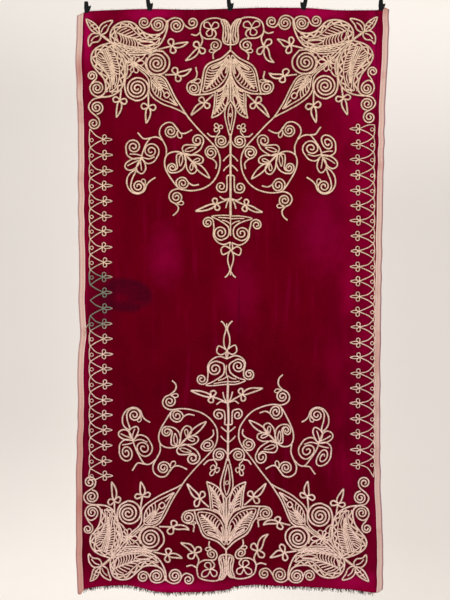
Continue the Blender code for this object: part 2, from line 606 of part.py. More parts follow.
def vine(d):
    d.line([(-44.1, 113.8), (-40.2, 119), (-30.1, 130.4), (-20.1, 140.6), (-13.5, 148.6), (-10.5, 158),
            (-11.6, 170), (-16.9, 180), (-25.4, 186.6), (-36.5, 189.6), (-46.5, 189), (-52.5, 186.4),
            (-58.3, 179.3), (-64.1, 170), (-65.9, 162), (-64.3, 155.2), (-59.6, 151.6), (-52.9, 150.8),
            (-46.2, 153)])
    d.line([(-64.3, 155.2), (-64.3, 147.1), (-67.6, 139.8), (-71, 133), (-69.5, 126.2), (-63.6, 121.8),
            (-57.5, 122.6), (-53.5, 127.4), (-49.9, 132), (-44.9, 132.2), (-38.5, 128.8)])
    d.coil((-53.1, 130.6), (-59.9, 130.4), 2.1, CW)
    d.line([(-67.6, 139.8), (-73, 136.4), (-79.7, 137.2), (-84.4, 143.2), (-87.7, 151.2), (-89.1, 156.5)])
    d.line([(-79.5, 137), (-86.9, 137.8), (-92.7, 131.8)])


def rosette(d):
    d.swirl([(-89.1, 156.8), (-96.9, 158), (-103.1, 154.4), (-104.5, 148)], (-96.9, 146), 2.0, CW)
    d.swirl([(-89.1, 157), (-83.5, 162.6), (-76.5, 160.6), (-72.1, 153.8)], (-79.5, 150), 2.0, CCW)
    d.leaf((-89.5, 157.4), (-105.9, 166.6), 8.2, 0.6)
    d.plate([(-89.3, 157.2), (-84.8, 162.2), (-84, 168.6), (-88.4, 173.8), (-93.5, 171.4), (-94.8, 165.4)])
    d.line([(-93.9, 168.4), (-99.5, 171.6), (-103.2, 177.2), (-103.2, 184.6), (-99.1, 190.8), (-92.4, 193),
            (-86.4, 190), (-83.7, 183.8), (-80.1, 179.8), (-75.1, 176.6)])
    d.swirl([(-94.3, 170), (-98.5, 178.6), (-99.7, 185)], (-92.1, 185.4), 2.1, CCW)


def ring_flower(d):
    d.swirl([(-46.2, 152.6), (-40.5, 154.4), (-34.5, 151.6), (-29.9, 148), (-27.5, 142.6)],
            (-33.2, 139.4), 1.75, CCW)
    d.swirl([(-46.2, 153.4), (-44.7, 160.5), (-47.3, 167.4), (-52.9, 171.2), (-59.1, 172)],
            (-58.3, 166.8), 1.75, CW)
    d.plate([(-46.1, 152.4), (-32.1, 153.2), (-26.7, 157), (-28.4, 162.8), (-37.3, 162.4)])
    d.plate([(-46.1, 153.4), (-37, 161.4), (-33.3, 166.4), (-34.4, 171.6), (-39.5, 173.6), (-44.3, 168.4)])
    d.leaf((-36.9, 161.8), (-20.7, 177.4), 5.6, -0.3)
    d.line([(-16.9, 145.4), (-22.1, 145.8), (-25.3, 150.4), (-22.8, 155.8), (-17.4, 158.6), (-14.1, 162.6),
            (-14.7, 168)])
    d.coil((-18.3, 157.2), (-19.6, 151.7), 1.6, CCW)
    d.line([(-53.5, 185.6), (-54.2, 180.2), (-50.1, 176.7), (-45.3, 177.3), (-41.5, 182), (-37.1, 184.4),
            (-31.5, 183.6)])
    d.coil((-42.1, 182.2), (-47.6, 182.5), 1.6, CW)


def hanging_scroll(d):
    d.line([(-46.5, 189), (-53.6, 188), (-59.5, 190.7), (-61.5, 195.6), (-59.3, 200.4), (-54.7, 203),
            (-52.1, 206.8), (-53.5, 211), (-57.7, 214.8)])
    d.coil((-53.9, 202.2), (-54.1, 196.2), 1.75, CCW)


# Motifs of half the middle column, laid out for the upper left

def twin_bud(d):
    d.ring([(-0.1, 43.4), (-5.9, 41.6), (-7.7, 36.6), (-7.1, 29.6), (-7.9, 24), (-10.9, 20), (-6.1, 20.4),
            (-1.9, 23.8), (-0.1, 29), (-0.5, 37)], 2.6)
    d.line([(0, 42.6), (0, 51)], 1.9)


def loop_scroll(d):
    d.line([(-4.5, 21.6), (-10.9, 17.9), (-17.3, 17.3), (-24.1, 18.9), (-28.7, 22.7), (-30.2, 28), (-30.3, 31.6),
            (-28.5, 35.6), (-23.9, 38.1), (-17.1, 37.9), (-12.2, 38.9), (-9.4, 42.6), (-10.5, 47.2), (-14.5, 50),
            (-17.5, 53.4), (-17.1, 58.2)])
    d.line([(-30.3, 31.4), (-34.1, 34.4), (-39.3, 33.5)])
    d.coil((-14.7, 49.6), (-15.3, 44.6), 1.5, CW)
    for tip in ((-25.1, 22.8), (-12.3, 23.8), (-22.1, 34.4)):
        d.drop((-19.2, 28.2), tip, 4.8)
    d.line([(-18.2, 28.6), (-14.6, 33.2), (-17.1, 37.6)])
    d.sprig([(-30.1, 33), (-28.1, 38.8), (-29.1, 43.2), (-31.1, 46.8)], (-45.1, 59.8), 5.4, 4.6, -1.4)


def palmette(d):
    d.line([(0, 49.4), (-3.6, 53.4)], 3.4)
    d.band([(-1.5, 54.4), (-6.9, 59.4), (-13.1, 62.4), (-20.7, 65.6), (-24.1, 71), (-25.3, 78), (-26.5, 85),
            (-27.3, 90.8), (-20.1, 89.2), (-12.7, 85.8), (-7.1, 80.4), (-3.7, 74.6), (-1.9, 67), (-1.1, 60)],
           -1.5, 4.4)
    vein = smooth([(-5.9, 61.4), (-11.5, 69.4), (-17.1, 78.4), (-24.5, 88.4)])
    d.add(vein, False, 1.9)
    d.hatch(vein, smooth([(-11.5, 62.6), (-20.1, 66.4), (-23.7, 72), (-24.9, 79), (-26.1, 86)]), 2)
    d.hatch(vein, smooth([(-2.1, 65), (-3.5, 73), (-6.9, 79.6), (-12.5, 85), (-19.5, 88.6)]), 2)


def palmette_curl(d):
    d.line([(-31.1, 93.6), (-35.7, 93.9), (-40.7, 92.2), (-43.4, 87.8), (-42.9, 83.4), (-40.1, 80.7),
            (-36.5, 78.9), (-34.2, 76), (-33.4, 72.4), (-34.2, 69.2), (-34.6, 66.1)])
    d.coil((-39.7, 81.8), (-36.9, 87.4), 1.9, CW)
    d.drop((-36.9, 81.2), (-29.9, 79.4), 4.2)


def lower_leaf(d):
    d.line([(-15.1, 90.4), (-15.7, 97), (-16.3, 105), (-17.9, 113), (-18.8, 117)], 1.9)
    d.line([(-3.1, 83), (-2.5, 93), (-2.9, 100), (-6.1, 108.4), (-11.9, 114), (-18.8, 117)], 1.9)
    vein = smooth([(-3.9, 85), (-8.1, 96), (-16.1, 113)])
    d.add(vein, False, 1.9)
    d.sprig([(-17.1, 93.6), (-21.5, 97.6), (-26.1, 101.8)], (-39.5, 114.4), 5.0, 4.6, 1.0)


def narrow_leaf(d):
    d.line([(0, 99.4), (-4.3, 106), (-5.7, 112), (-5.3, 118), (-3.1, 127), (-0.9, 135)], 1.7)
    d.line([(0, 57), (0, 101)], 2.4)
    for tip in ((-15.5, 123), (-8.1, 125.2), (-16.1, 130)):
        d.drop((-11.9, 127.4), tip, 3.6)
    d.line([(-11.9, 127.4), (-11.1, 131), (-13.7, 135), (-15.1, 140), (-13.3, 144.8), (-8.5, 146.6),
            (-3.9, 144.6), (-0.9, 140)])
    d.coil((-13.1, 136.6), (-9.1, 140.2), 1.8, CW)
    d.line([(-13.9, 135.6), (-19.3, 135.4), (-23.2, 132.2)])


def column(d):
    d.line([(0, 133), (0, 192)], 2.6)
    d.line([(-0.3, 153.4), (-4.5, 157), (-7.3, 160.4)], 1.6)
    d.line([(-0.3, 163.6), (-4.5, 167), (-7.1, 170.2)], 1.6)
    d.swirl([(-0.1, 174), (-3.5, 175.6), (-3.5, 183), (-4.3, 190), (-8.9, 191.2)], (-9.3, 185.8), 1.5, CW)
    d.line([(0, 191), (0, 216)], 2.8)
    d.line([(-0.5, 197.2), (-6.5, 198.4), (-10.9, 195.6)], 1.6)
    d.line([(-0.5, 197.4), (-3.1, 201.4), (-4.7, 207.2)], 1.6)
    d.sprig([(-1.1, 197.6), (-7.5, 200.6), (-14.4, 203.3)], (-35.1, 210.2), 4.6, 4.4, -0.6)


def bar_and_scrolls(d):
    d.line([(0, 214.6), (-10.5, 214.4), (-18.9, 215.6), (-13.1, 218.4), (-7.5, 221.8), (-1.9, 226)], 1.6)
    d.line([(0, 215), (0, 235)], 1.6)
    d.swirl([(-8.1, 221), (-2.9, 225.4), (-1.3, 230.4), (-2.9, 236), (-8.6, 239.2)], (-9.7, 231.8), 1.9, CW)
    d.swirl([(0, 241.2), (-6.9, 243.6), (-13.1, 241), (-16.9, 235), (-16.6, 227), (-17.2, 220)],
            (-22.7, 221.8), 1.8, CCW)


def bow_and_finial(d):
    d.ring([(0, 248.6), (-5.3, 245.2), (-9.3, 248), (-7.9, 253.6), (-2.1, 251.2)], 1.7)
    d.line([(0, 241.2), (-0.9, 245.6), (0, 249.6)], 1.6)
    d.line([(0, 249), (-2.3, 254), (-2.6, 261), (-0.7, 269), (-3.1, 274.2), (-5.7, 276.6)], 1.7)
    d.line([(0, 267), (0, 274.4)], 1.6)


QUARTER = (corner_sprig, upper_boteh, side_boteh, palmette_heart, diamond_leaf, great_spirals, top_scroll,
           side_scroll, corner_sprigs, vine, rosette, ring_flower, hanging_scroll)
MIDDLE = (twin_bud, loop_scroll, palmette, palmette_curl, lower_leaf, narrow_leaf, column, bar_and_scrolls,
          bow_and_finial)


def border(d, stem, heart, tip, first, last, count, start, end):
    """A side border: a zigzag of arms along a stem line, with a looped heart and a leaf at each turn."""
    out = 1 if tip > stem else -1
    pitch = (last - first) / (count - 1)
    joints = [start] + [(stem + 0.6 * out, first + (i + 0.5) * pitch) for i in range(count - 1)] + [end]
    d.add(joints, False, 1.5)
    for i in range(count):
        at = first + i * pitch
        d.add([joints[i], (heart, at), joints[i + 1]], False, 1.5)
        d.plate([(heart - 1.4 * out, at), (heart + 1.8 * out, at - 5.6), (tip, at), (heart + 1.8 * out, at + 5.6)])


def place(points, side, half):
    """Mirror a quarter's points to their corner and let them stray as the hand laid them."""
    table = np.array(STRAY[(side, half)])
    d2 = ((points[:, None, :] - table[None, :, :2]) ** 2).sum(2)
    w = 1.0 / (d2 + 1.0) ** 1.5
    moved = (w[:, :, None] * table[None, :, 2:]).sum(1) / w.sum(1)[:, None]
    flat = points * (side, 1)
    if half < 0:
        flat[:, 1] = MIRROR_V - flat[:, 1]
    return flat + moved


# The hanging cloth

def on_edge(table, at):
    return np.interp(at, [p[0] for p in table], [p[1] for p in table])


def ease_in(x):
    x = np.clip(x, 0, 1)
    return x * x * (3 - 2 * x)


def swell(a, v):
    """How far the cloth stands toward the viewer at a place of the drawing."""
    grow = ease_in((v - 16) / 70) * (0.6 + 0.4 * v / 600)
    flute = np.sin(TAU * a / 118 + 0.6 + 0.002 * v) + 0.45 * np.sin(TAU * a / 66 + 2.1 - 0.004 * v)
    hem = np.exp(-np.maximum(592 - v, 0) / 40) * np.sin(TAU * (a + 14) / 92)
    return grow * (FLUTE_DEPTH * flute + HEM_RIPPLE * hem)


def cloth_grid():
    """Places of the cloth's mesh points, row by row: (across, depth)."""
    rows = []
    for s in ROWS:
        for c in COLUMNS:
            v = 8 + s * 583
            for _ in range(3):
                a = (1 - c) * on_edge(LEFT_EDGE, v) + c * on_edge(RIGHT_EDGE, v)
                v = (1 - s) * on_edge(TOP_EDGE, a) + s * on_edge(FOOT_EDGE, a)
            rows.append((a, v))
    return np.array(rows)


def at_depth(places, toward):
    """Points in metres for places of the drawing that stand so far toward the viewer."""
    return np.stack([places[:, 0] * GRID, -toward * np.ones(len(places)), -places[:, 1] * GRID], 1)


def slab(grid, wide, toward, thick):
    """Closed faces of a sheet over a grid of places."""
    front, back = at_depth(grid, toward + thick / 2), at_depth(grid, toward - thick / 2)
    n, tall = len(grid), len(grid) // wide
    faces = []
    for r in range(tall - 1):
        for c in range(wide - 1):
            i = r * wide + c
            q = (i, i + wide, i + wide + 1, i + 1)
            faces += [q, tuple(n + k for k in reversed(q))]
    rim = [*range(wide), *range(2 * wide - 1, n, wide), *range(n - 2, n - wide - 1, -1),
           *range(n - 2 * wide, 0, -wide)]
    faces += [(a, b, n + b, n + a) for a, b in zip(rim, rim[1:] + rim[:1])]
    return np.vstack([front, back]), faces


def add_object(name, points, faces, material):
    """A mesh object from triangles that face outwards."""
    mesh = bpy.data.meshes.new(name)
    mesh.from_pydata([tuple(p) for p in points], [], [tuple(int(i) for i in f) for f in faces])
    work = bmesh.new()
    work.from_mesh(mesh)
    bmesh.ops.triangulate(work, faces=work.faces[:])
    bmesh.ops.recalc_face_normals(work, faces=work.faces[:])
    work.to_mesh(mesh)
    work.free()
    mesh.materials.append(material)
    thing = bpy.data.objects.new(name, mesh)
    bpy.context.scene.collection.objects.link(thing)
    return thing


def finish(name, colour, roughness, metallic=0.0, sheen=0.0):
    """A plain material."""
    made = bpy.data.materials.new(name)
    made.use_nodes = True
    shader = made.node_tree.nodes["Principled BSDF"]
    shader.inputs["Base Color"].default_value = (*colour, 1)
    shader.inputs["Roughness"].default_value = roughness
    shader.inputs["Metallic"].default_value = metallic
    shader.inputs["Sheen Weight"].default_value = sheen
    return made


def ravelled_edge(grid, material):
    """A narrow strip under the lower edge that carries the ravelled locks."""
    rng = np.random.default_rng(11)
    foot = grid[-len(COLUMNS):]
    toward = swell(foot[:, 0], foot[:, 1])
    share = np.linspace(0, 1, FRAY_LOCKS + 1)
    share[1:-1] += rng.uniform(-0.3, 0.3, FRAY_LOCKS - 1) / FRAY_LOCKS
    share = np.sort(np.concatenate([share, COLUMNS[1:-1]]))
    at = np.stack([np.interp(share, COLUMNS, column) for column in (*foot.T, toward)], 1)
    top = np.stack([at[:, 0] * GRID, -at[:, 2], -at[:, 1] * GRID - GAP], 1)
    top[0, 0] += 0.001
    top[-1, 0] -= 0.001
    low = top - (0, 0, FRAY_BACK)
    t = np.array((0, FRAY_T / 2, 0))
    points = [*(top - t), *(top + t), *(low - t), *(low + t)]
    n, faces = len(top), []
    for i in range(n - 1):
        j = i + 1
        faces += [(i, j, 2 * n + j, 2 * n + i), (n + i, n + j, 3 * n + j, 3 * n + i), (i, j, n + j, n + i)]
        tip = (low[i] + low[j]) / 2
        long = FRAY_LONG * rng.uniform(0.35, 1)
        points.append(tip + (rng.uniform(-0.5, 0.2) * long, rng.uniform(-0.1, 0.1) * long, -long))
        ring = (2 * n + i, 2 * n + j, 3 * n + j, 3 * n + i)
        faces += [(a, b, len(points) - 1) for a, b in zip(ring, ring[1:] + ring[:1])]
    faces += [(0, n, 3 * n, 2 * n), (n - 1, 2 * n - 1, 4 * n - 1, 3 * n - 1)]
    return add_object("lower_fray", points, faces, material)


# Clips

def swept(stations):
    """Faces of a bar through a row of closed rings of points."""
    n = len(stations[0])
    faces = [tuple(range(n)), tuple(range((len(stations) - 1) * n, len(stations) * n))]
    for k in range(len(stations) - 1):
        for i in range(n):
            j = (i + 1) % n
            faces.append((k * n + i, k * n + j, (k + 1) * n + j, (k + 1) * n + i))
    return np.vstack(stations), faces


def leaned(points, across, jaw, lean):
    """Points of a clip turned in the cloth's plane about the jaw's foot and set in place."""
    c, s = math.cos(math.radians(lean)), math.sin(math.radians(lean))
    x, y, z = np.asarray(points, float).T
    return np.stack([across * GRID + x * c + z * s, y, -jaw * GRID - x * s + z * c], 1)


def clip_leaf(side, hand):
    """One leaf of a clip, toward the viewer (-1) or behind (1), with its shoulder on the prong's side."""
    rings = []
    for up, off, half, shoulder in CLIP_LEAF:
        left, right = (half, shoulder) if hand > 0 else (shoulder, half)
        near, far = side * off, side * (off + CLIP_T)
        rings.append(np.array([(-left, near, up), (right, near, up), (right * 0.93, far, up), (-left * 0.93, far, up)]))
    return swept(rings)


def clip_pin(side):
    """The pin across a clip, with its end bent up as a prong."""
    path = [(-0.0068 * side, 0), (0.0085 * side, 0), (0.0145 * side, 0.0078)]
    rings = []
    for k, (x, up) in enumerate(path):
        tilt = (0, 0.4, 0.8)[k] * side
        ring = []
        for i in range(4):
            t = TAU * (i + 0.5) / 4
            out = PIN_R * math.cos(t)
            ring.append((x - out * math.sin(tilt), PIN_R * math.sin(t), PIN_UP + up + out * math.cos(tilt)))
        rings.append(np.array(ring))
    return swept(rings)


def add_clips(leaf_material, pin_material):
    for k, (across, jaw, lean, prong) in enumerate(CLIPS, 1):
        for part, (points, faces), material in (
                ("front_leaf", clip_leaf(-1, prong), leaf_material),
                ("back_leaf", clip_leaf(1, prong), leaf_material),
                ("spring_pin", clip_pin(prong), pin_material)):
            add_object(f"clip_{k}_{part}", leaned(points, across, jaw, lean), faces, material)


# Braid bodies

class Velvet:
    """The cloth's face, to lay the braid on."""

    def __init__(self, points, faces):
        self.tree = BVHTree.FromPolygons([tuple(p) for p in points], faces)

    def face(self, a, v):
        """Where a line toward the cloth meets it, in metres along Y."""
        hit = self.tree.ray_cast(Vector((a * GRID, -0.1, -v * GRID)), Vector((0, 1, 0)))[0]
        if hit is None:
            raise ValueError(f"the braid leaves the cloth at {a:.1f}, {v:.1f}")
        return hit.y

    def base(self, places, faces):
        """Depths that keep the braid's base clear of the cloth, between its points too."""
        y = np.array([self.face(*p) for p in places]) - GAP
        edges = {tuple(sorted((int(a), int(b)))) for t in faces for a, b in zip(t, np.roll(t, -1))}
        checks = []
        for a, b in edges:
            for k in (0.25, 0.5, 0.75):
                checks.append((a, b, k, self.face(*(places[a] * (1 - k) + places[b] * k))))
        for _ in range(3):
            for a, b, k, cloth in checks:
                short = y[a] * (1 - k) + y[b] * k - (cloth - LEAST_GAP)
                if short > 0:
                    y[a] -= short
                    y[b] -= short
        return y


def add_braid(name, strands, velvet, material):
    loops, places, height, top, bottom = tent(strands)
    rim = sum(len(p) for p in loops)
    y = np.empty(len(places))
    y[:rim] = velvet.base(places[:rim], bottom)
    for i in range(rim, len(places)):
        y[i] = velvet.face(*places[i]) - GAP - height[i]
    points = np.stack([places[:, 0] * GRID, y, -places[:, 1] * GRID], 1)
    return add_object(name, points, [*map(tuple, top), *map(tuple, bottom[:, ::-1])], material)


def quarter_strands(side, half):
    draft = Draft()
    for motif in QUARTER:
        motif(draft)
    return [(place(p, side, half), closed, width, filled) for p, closed, width, filled in draft.strands]


def middle_strands(half):
    draft = Draft()
    for motif in MIDDLE:
        motif(draft)
    strands = []
    for p, closed, width, filled in draft.strands:
        strands.append((place(p, 1, half), closed, width, filled))
        if np.abs(p[:, 0]).max() > 0.01:
            strands.append((place(p, -1, half), closed, width, filled))
    return strands


def side_strands(side):
    """All the braid of one side: its two vines and the border between them."""
    draft = Draft()
    border(draft, *BORDERS[side])
    return quarter_strands(side, 1) + draft.strands + quarter_strands(side, -1)


def main():
    crimson = finish("crimson_velvet", (0.19, 0.004, 0.028), 0.85, sheen=0.5)
    champagne = finish("champagne_braid", (0.74, 0.58, 0.41), 0.5)
    threads = finish("ravelled_threads", (0.16, 0.13, 0.13), 0.9)
    black = finish("black_plastic", (0.012, 0.014, 0.016), 0.45)
    steel = finish("dark_steel", (0.05, 0.055, 0.06), 0.4, metallic=1.0)

    grid = cloth_grid()
    points, faces = slab(grid, len(COLUMNS), swell(grid[:, 0], grid[:, 1]), CLOTH_T)
    cloth = add_object("velvet_panel", points, faces, crimson)
    velvet = Velvet([v.co for v in cloth.data.vertices], [tuple(p.vertices) for p in cloth.data.polygons])

    add_braid("left_vine_and_border_braid", side_strands(1), velvet, champagne)
    add_braid("right_vine_and_border_braid", side_strands(-1), velvet, champagne)
    add_braid("upper_centre_braid", middle_strands(1), velvet, champagne)
    add_braid("lower_centre_braid", middle_strands(-1), velvet, champagne)
    ravelled_edge(grid, threads)
    add_clips(black, steel)


main()
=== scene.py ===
"""Dressed velvet hanging: the cloth, its couched braid, its ravelled edges and its pinch clips.

Places on the cloth are given on a drawing grid: the first number is the place across, from the
motif axis, and the second is the depth below the tops of the clips. One unit is GRID metres.
"""

import logging
import math
from collections.abc import Callable, Sequence
from dataclasses import dataclass, field
from enum import Enum

import bmesh
import bpy
import numpy as np
from mathutils import Euler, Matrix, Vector


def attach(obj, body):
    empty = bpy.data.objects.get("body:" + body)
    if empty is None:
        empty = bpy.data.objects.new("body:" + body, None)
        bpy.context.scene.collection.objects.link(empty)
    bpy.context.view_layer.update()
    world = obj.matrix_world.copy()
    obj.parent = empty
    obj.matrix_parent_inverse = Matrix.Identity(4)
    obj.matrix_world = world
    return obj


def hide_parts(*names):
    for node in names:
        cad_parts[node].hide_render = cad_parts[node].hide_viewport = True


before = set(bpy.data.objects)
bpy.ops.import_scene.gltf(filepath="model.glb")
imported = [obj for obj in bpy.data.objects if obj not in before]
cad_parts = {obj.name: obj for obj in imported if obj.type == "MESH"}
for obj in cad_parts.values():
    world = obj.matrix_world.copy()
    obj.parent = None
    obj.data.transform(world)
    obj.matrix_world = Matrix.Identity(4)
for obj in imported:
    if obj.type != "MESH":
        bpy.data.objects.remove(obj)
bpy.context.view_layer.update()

log = logging.getLogger("velvet_hanging")

TAU = 2 * math.pi
GRID = 0.00327       # metres in one drawing unit
CLOTH_T = 0.0020     # thickness of the cloth
MIRROR_V = 596.0     # the lower half mirrors depth v to MIRROR_V - v
CW, CCW = 1, -1      # hands of a coil, as seen from the front
BRAID = 1.8          # usual width of a strand, in drawing units
COIL_END = 1.1       # radius at which a coil ends
COIL_STEPS = 28      # points for each turn of a coil
RIB_BEND = 0.16      # how far a rib bows, as a share of its length
CREASE_AT = (8.5, 310.0)    # middle of the upright crease
STAIN_AT = (-106.0, 294.5)  # middle of the ring stain

Place = tuple[float, float]
Path = Sequence[Place]
Point = tuple[float, float, float]
Colour = tuple[float, float, float]
Socket = bpy.types.NodeSocket
Thing = bpy.types.Object
Material = bpy.types.Material

# Outline of the velvet with its selvedges, in grid units
LEFT_EDGE = [(8, -152.8), (16, -153.4), (59, -154.9), (100, -153.7), (130, -152.7), (200, -152.6), (229, -152.3),
             (262, -151.5), (309, -152.0), (327, -150.3), (345, -151.6), (374, -153.3), (400, -152.7),
             (459, -154.2), (489, -154.6), (560, -154.5), (594, -152.4)]
RIGHT_EDGE = [(6, 158.6), (40, 158.3), (60, 157.3), (80, 156.1), (100, 155.0), (149, 153.8), (200, 152.5),
              (250, 151.6), (309, 150.7), (400, 149.8), (450, 149.8), (500, 150.8), (550, 152.8), (589, 152.5)]
TOP_EDGE = [(-153, 14.6), (-148, 12.2), (-142.5, 10.4), (-112, 8.9), (-80.5, 8.0), (-40, 8.7), (-0.5, 7.7),
            (36, 6.7), (73, 7.0), (114, 9.4), (146, 9.2), (150.5, 7.8), (154.5, 6.6), (158.3, 8.6)]
FOOT_EDGE = [(-153, 592.6), (-151.6, 593.8), (-149.8, 593.6), (-148, 591.2), (-146.8, 589.2), (-142, 587.6),
             (-133, 586.2), (-120.5, 585.0), (-104.5, 584.4), (-89.5, 587.0),
             (-73.5, 591.0), (-58.5, 592.0), (-32.5, 591.6), (-0.5, 588.0), (3.5, 585.4), (22.5, 584.0),
             (54.5, 586.0), (87.5, 586.5), (119.5, 588.7), (146.3, 592.2), (149, 591.4), (152.4, 588.6)]

# Side borders: (stem line, heart, leaf tip, first unit, last unit, units, where the stem line starts and ends)
BORDERS = {
    1: (-140.8, -127.0, -118.0, 139.0, 475.0, 23, (-140.6, 128.0), (-135.6, 478.6)),
    -1: (143.6, 128.4, 119.6, 128.3, 463.4, 23, (143.6, 124.0), (143.0, 476.0)),
}

# How far the hand-laid corners stray from the drawing: the place on it, then how far that place moves
# (across, down) at the upper right, the lower left and the lower right; None where it has no say
STRAY = (
    ((0, 40), (0, 0), None, None), ((0, 100), (0, 0), None, None), ((0, 160), (0, 0), None, None),
    ((0, 43.4), None, (-4.3, 1.2), (-4.3, 1.2)), ((0, 50), None, (-4.4, 2), (-4.4, 2)),
    ((0, 135), None, (-2.8, -3.4), (-2.8, -3.4)), ((0, 165), None, (-2.4, -1), (-2.4, -1)),
    ((0, 183), None, (-2, 4.6), (-2, 4.6)), ((0, 215), (0.6, 0.6), (-2.6, 2), (-2.6, 2)),
    ((0, 240), None, (-3.6, 3), (-3.6, 3)), ((0, 276), (-0.5, 0), (-3.8, 0.7), (-3.8, 0.7)),
    ((-131, 33), (2.7, -2.3), (0.8, 2.7), (-6.6, 2.7)), ((-38, 22), (3.1, -1.1), None, None),
    ((-54, 24.5), (0.4, -2.6), None, None), ((-143.8, 18.6), None, (4, 2.6), None),
    ((-86.3, 21.5), None, (-0.9, 1.2), (-7.5, 0.2)), ((-72.5, 24), (-1.3, -1.6), (-1.3, 2.9), (-6.3, 3.4)),
    ((-86.5, 21.4), (-0.8, -1.8), None, None), ((-54.1, 24.7), None, (-1.4, 3.7), (-4.6, 3)),
    ((-38.1, 21.8), None, (-4.1, 4.6), (-4.3, -1.5)), ((-138.6, 75), (3.6, -4.3), (-4, 7.3), (-2.4, 6.3)),
    ((-133.3, 87.2), (2.9, 0.6), (-5, 2.4), (-2.1, 2.9)), ((-133.7, 106.6), (3.1, -3.6), (-5, 6.3), (-4, 7.2)),
    ((-136.7, 122.6), (2.1, -6.3), (-3.9, 7.9), (-2.9, 8.3)),
    ((-73.5, 62.5), (1.7, -1.2), (-7, 3.8), (-6.3, 3.8)), ((-93.3, 87.4), (1.3, -2.3), (-9, 3.6), (-4, 6.4)),
    ((-49.5, 107.3), (-1, 3.4), (-3.3, 0.3), (-4.3, 0.2)), ((-38.5, 157), (1, 0.4), (-5.3, 1.7), (0, -1.7)),
    ((-60, 130), (-1.2, -1), (-7.2, 1.3), (-4.5, 1.3)), ((-89, 157), (2.2, -3), (-8.2, 0.4), (-1.2, 3.3)),
    ((-92.2, 185.5), (1.3, 0), (-4, 3.5), (-6, 3.5)), ((-54.5, 196), (0, 3), (-6.7, 0.7), (-2.3, -4.3)),
    ((-57.5, 214.5), (-0.7, 4.5), (-0.7, -1.5), (-5.3, -7.5)), ((-92.5, 132.5), (-2.3, -5.8), None, (-8, 9)),
    ((-42.2, 41.2), (4.6, -2.9), (-6, 2.5), (-2.7, 1.9)),
    ((-39.1, 67.8), (-0.6, 4.6), (-2.4, 0.8), (-6.5, -4.2)),
    ((-84.3, 122.4), (1.2, -0.7), (-5.5, 7.1), (-7, 6.6)),
    ((-114.1, 116.6), (2.7, -2.6), (-4.7, 1.3), (-1.2, 8.4)), ((-139.1, 60), None, (-1, 1.3), None),
    ((-103.5, 21), None, (-3.7, 3.3), None), ((-36.9, 87.4), (-0.7, -1.1), (-5.3, 8), (-1.7, 3.7)),
    ((-18.8, 117), (-1.6, 0.3), (-5, 1.7), (-3.6, 1.7)), ((-9.1, 140.2), None, (-2, -1.8), (-1.2, -1.8)),
    ((-35.1, 210.2), (-3, 1.1), (-4.7, 3.9), (-3, 1.5)), ((-9.7, 231.8), (1.5, 0.5), (-6, 3.8), (-1.9, 0.8)),
    ((-22.7, 221.8), (3.5, 2.2), (-6.1, 4.1), (-4.2, -1.2)), ((-19.2, 28.2), None, (-1.3, 0.5), (-6, -2)),
    ((-45.1, 59.8), (-1.6, 1.9), (-4.7, 5.5), (-7.4, -2.9)),
)
CORNERS = ((-1, 1), (1, -1), (-1, -1))

# Clips: (across, depth of the jaw's foot, lean in degrees, side of the prong)
CLIPS = [(-144.2, 12.1, 0, 1), (-81.0, 9.9, -9, 1), (-0.6, 9.9, -7, 1), (73.0, 9.1, 12, -1), (149.9, 9.9, 3, 1)]


# Drawing of the braid's lines

def smooth(points: Path | np.ndarray, closed: bool = False, per: int = 8) -> np.ndarray:
    """Draw a flowing line through some places.

    Args:
        points: the places, in order.
        closed: whether the line runs back to its start.
        per: points for each stretch between two places.

    Returns:
        The line's points, one a row.
    """
    p = np.asarray(points, float)
    n = len(p)
    if n < 3:
        return p[0] + (p[-1] - p[0]) * np.linspace(0, 1, per + 1)[:, None]
    ring = np.vstack([p[-1], p, p[0], p[1]])
    q = ring if closed else np.vstack([2 * p[0] - p[1], p, 2 * p[-1] - p[-2]])
    t = np.linspace(0, 1, per, endpoint=False)[:, None]
    out = []
    for i in range(n if closed else n - 1):
        a, b, c, d = q[i:i + 4]
        out.append(0.5 * (2 * b + (c - a) * t + (2 * a - 5 * b + 4 * c - d) * t ** 2
                          + (3 * b - a - 3 * c + d) * t ** 3))
    if not closed:
        out.append(p[-1:])
    return np.vstack(out)


def coil(start: Place, centre: Place, turns: float, hand: int, inner: float = COIL_END) -> np.ndarray:
    """Wind a line inwards round a centre.

    Args:
        start: where the winding begins.
        centre: the middle of the coil.
        turns: how many times it goes round.
        hand: CW or CCW.
        inner: radius at which it ends.

    Returns:
        The line's points, one a row.
    """
    s, c = np.asarray(start, float), np.asarray(centre, float)
    d = s - c
    radius, turned = math.hypot(*d), math.atan2(d[1], d[0])
    t = np.linspace(0, 1, max(6, int(COIL_STEPS * turns)) + 1)
    r = radius + (inner - radius) * t ** 0.92
    a = turned + hand * TAU * turns * t
    return np.stack([c[0] + r * np.cos(a), c[1] + r * np.sin(a)], 1)


def axis_of(base: Place, tip: Place) -> tuple[np.ndarray, np.ndarray, np.ndarray]:
    """Give a petal's base, the way from it to its tip, and the direction square to that."""
    b = np.asarray(base, float)
    d = np.asarray(tip, float) - b
    return b, d, np.array([-d[1], d[0]]) / math.hypot(*d)


def teardrop(base: Place, tip: Place, across: float) -> np.ndarray:
    """Draw a drop-shaped loop.

    Args:
        base: its pointed end.
        tip: its round end.
        across: its greatest width.

    Returns:
        The loop's points, one a row.
    """
    b, d, n = axis_of(base, tip)
    n = n * across / 2
    return smooth([b, b + d * 0.38 + n * 0.8, b + d * 0.76 + n, np.asarray(tip, float), b + d * 0.76 - n,
                   b + d * 0.38 - n * 0.8], closed=True, per=5)


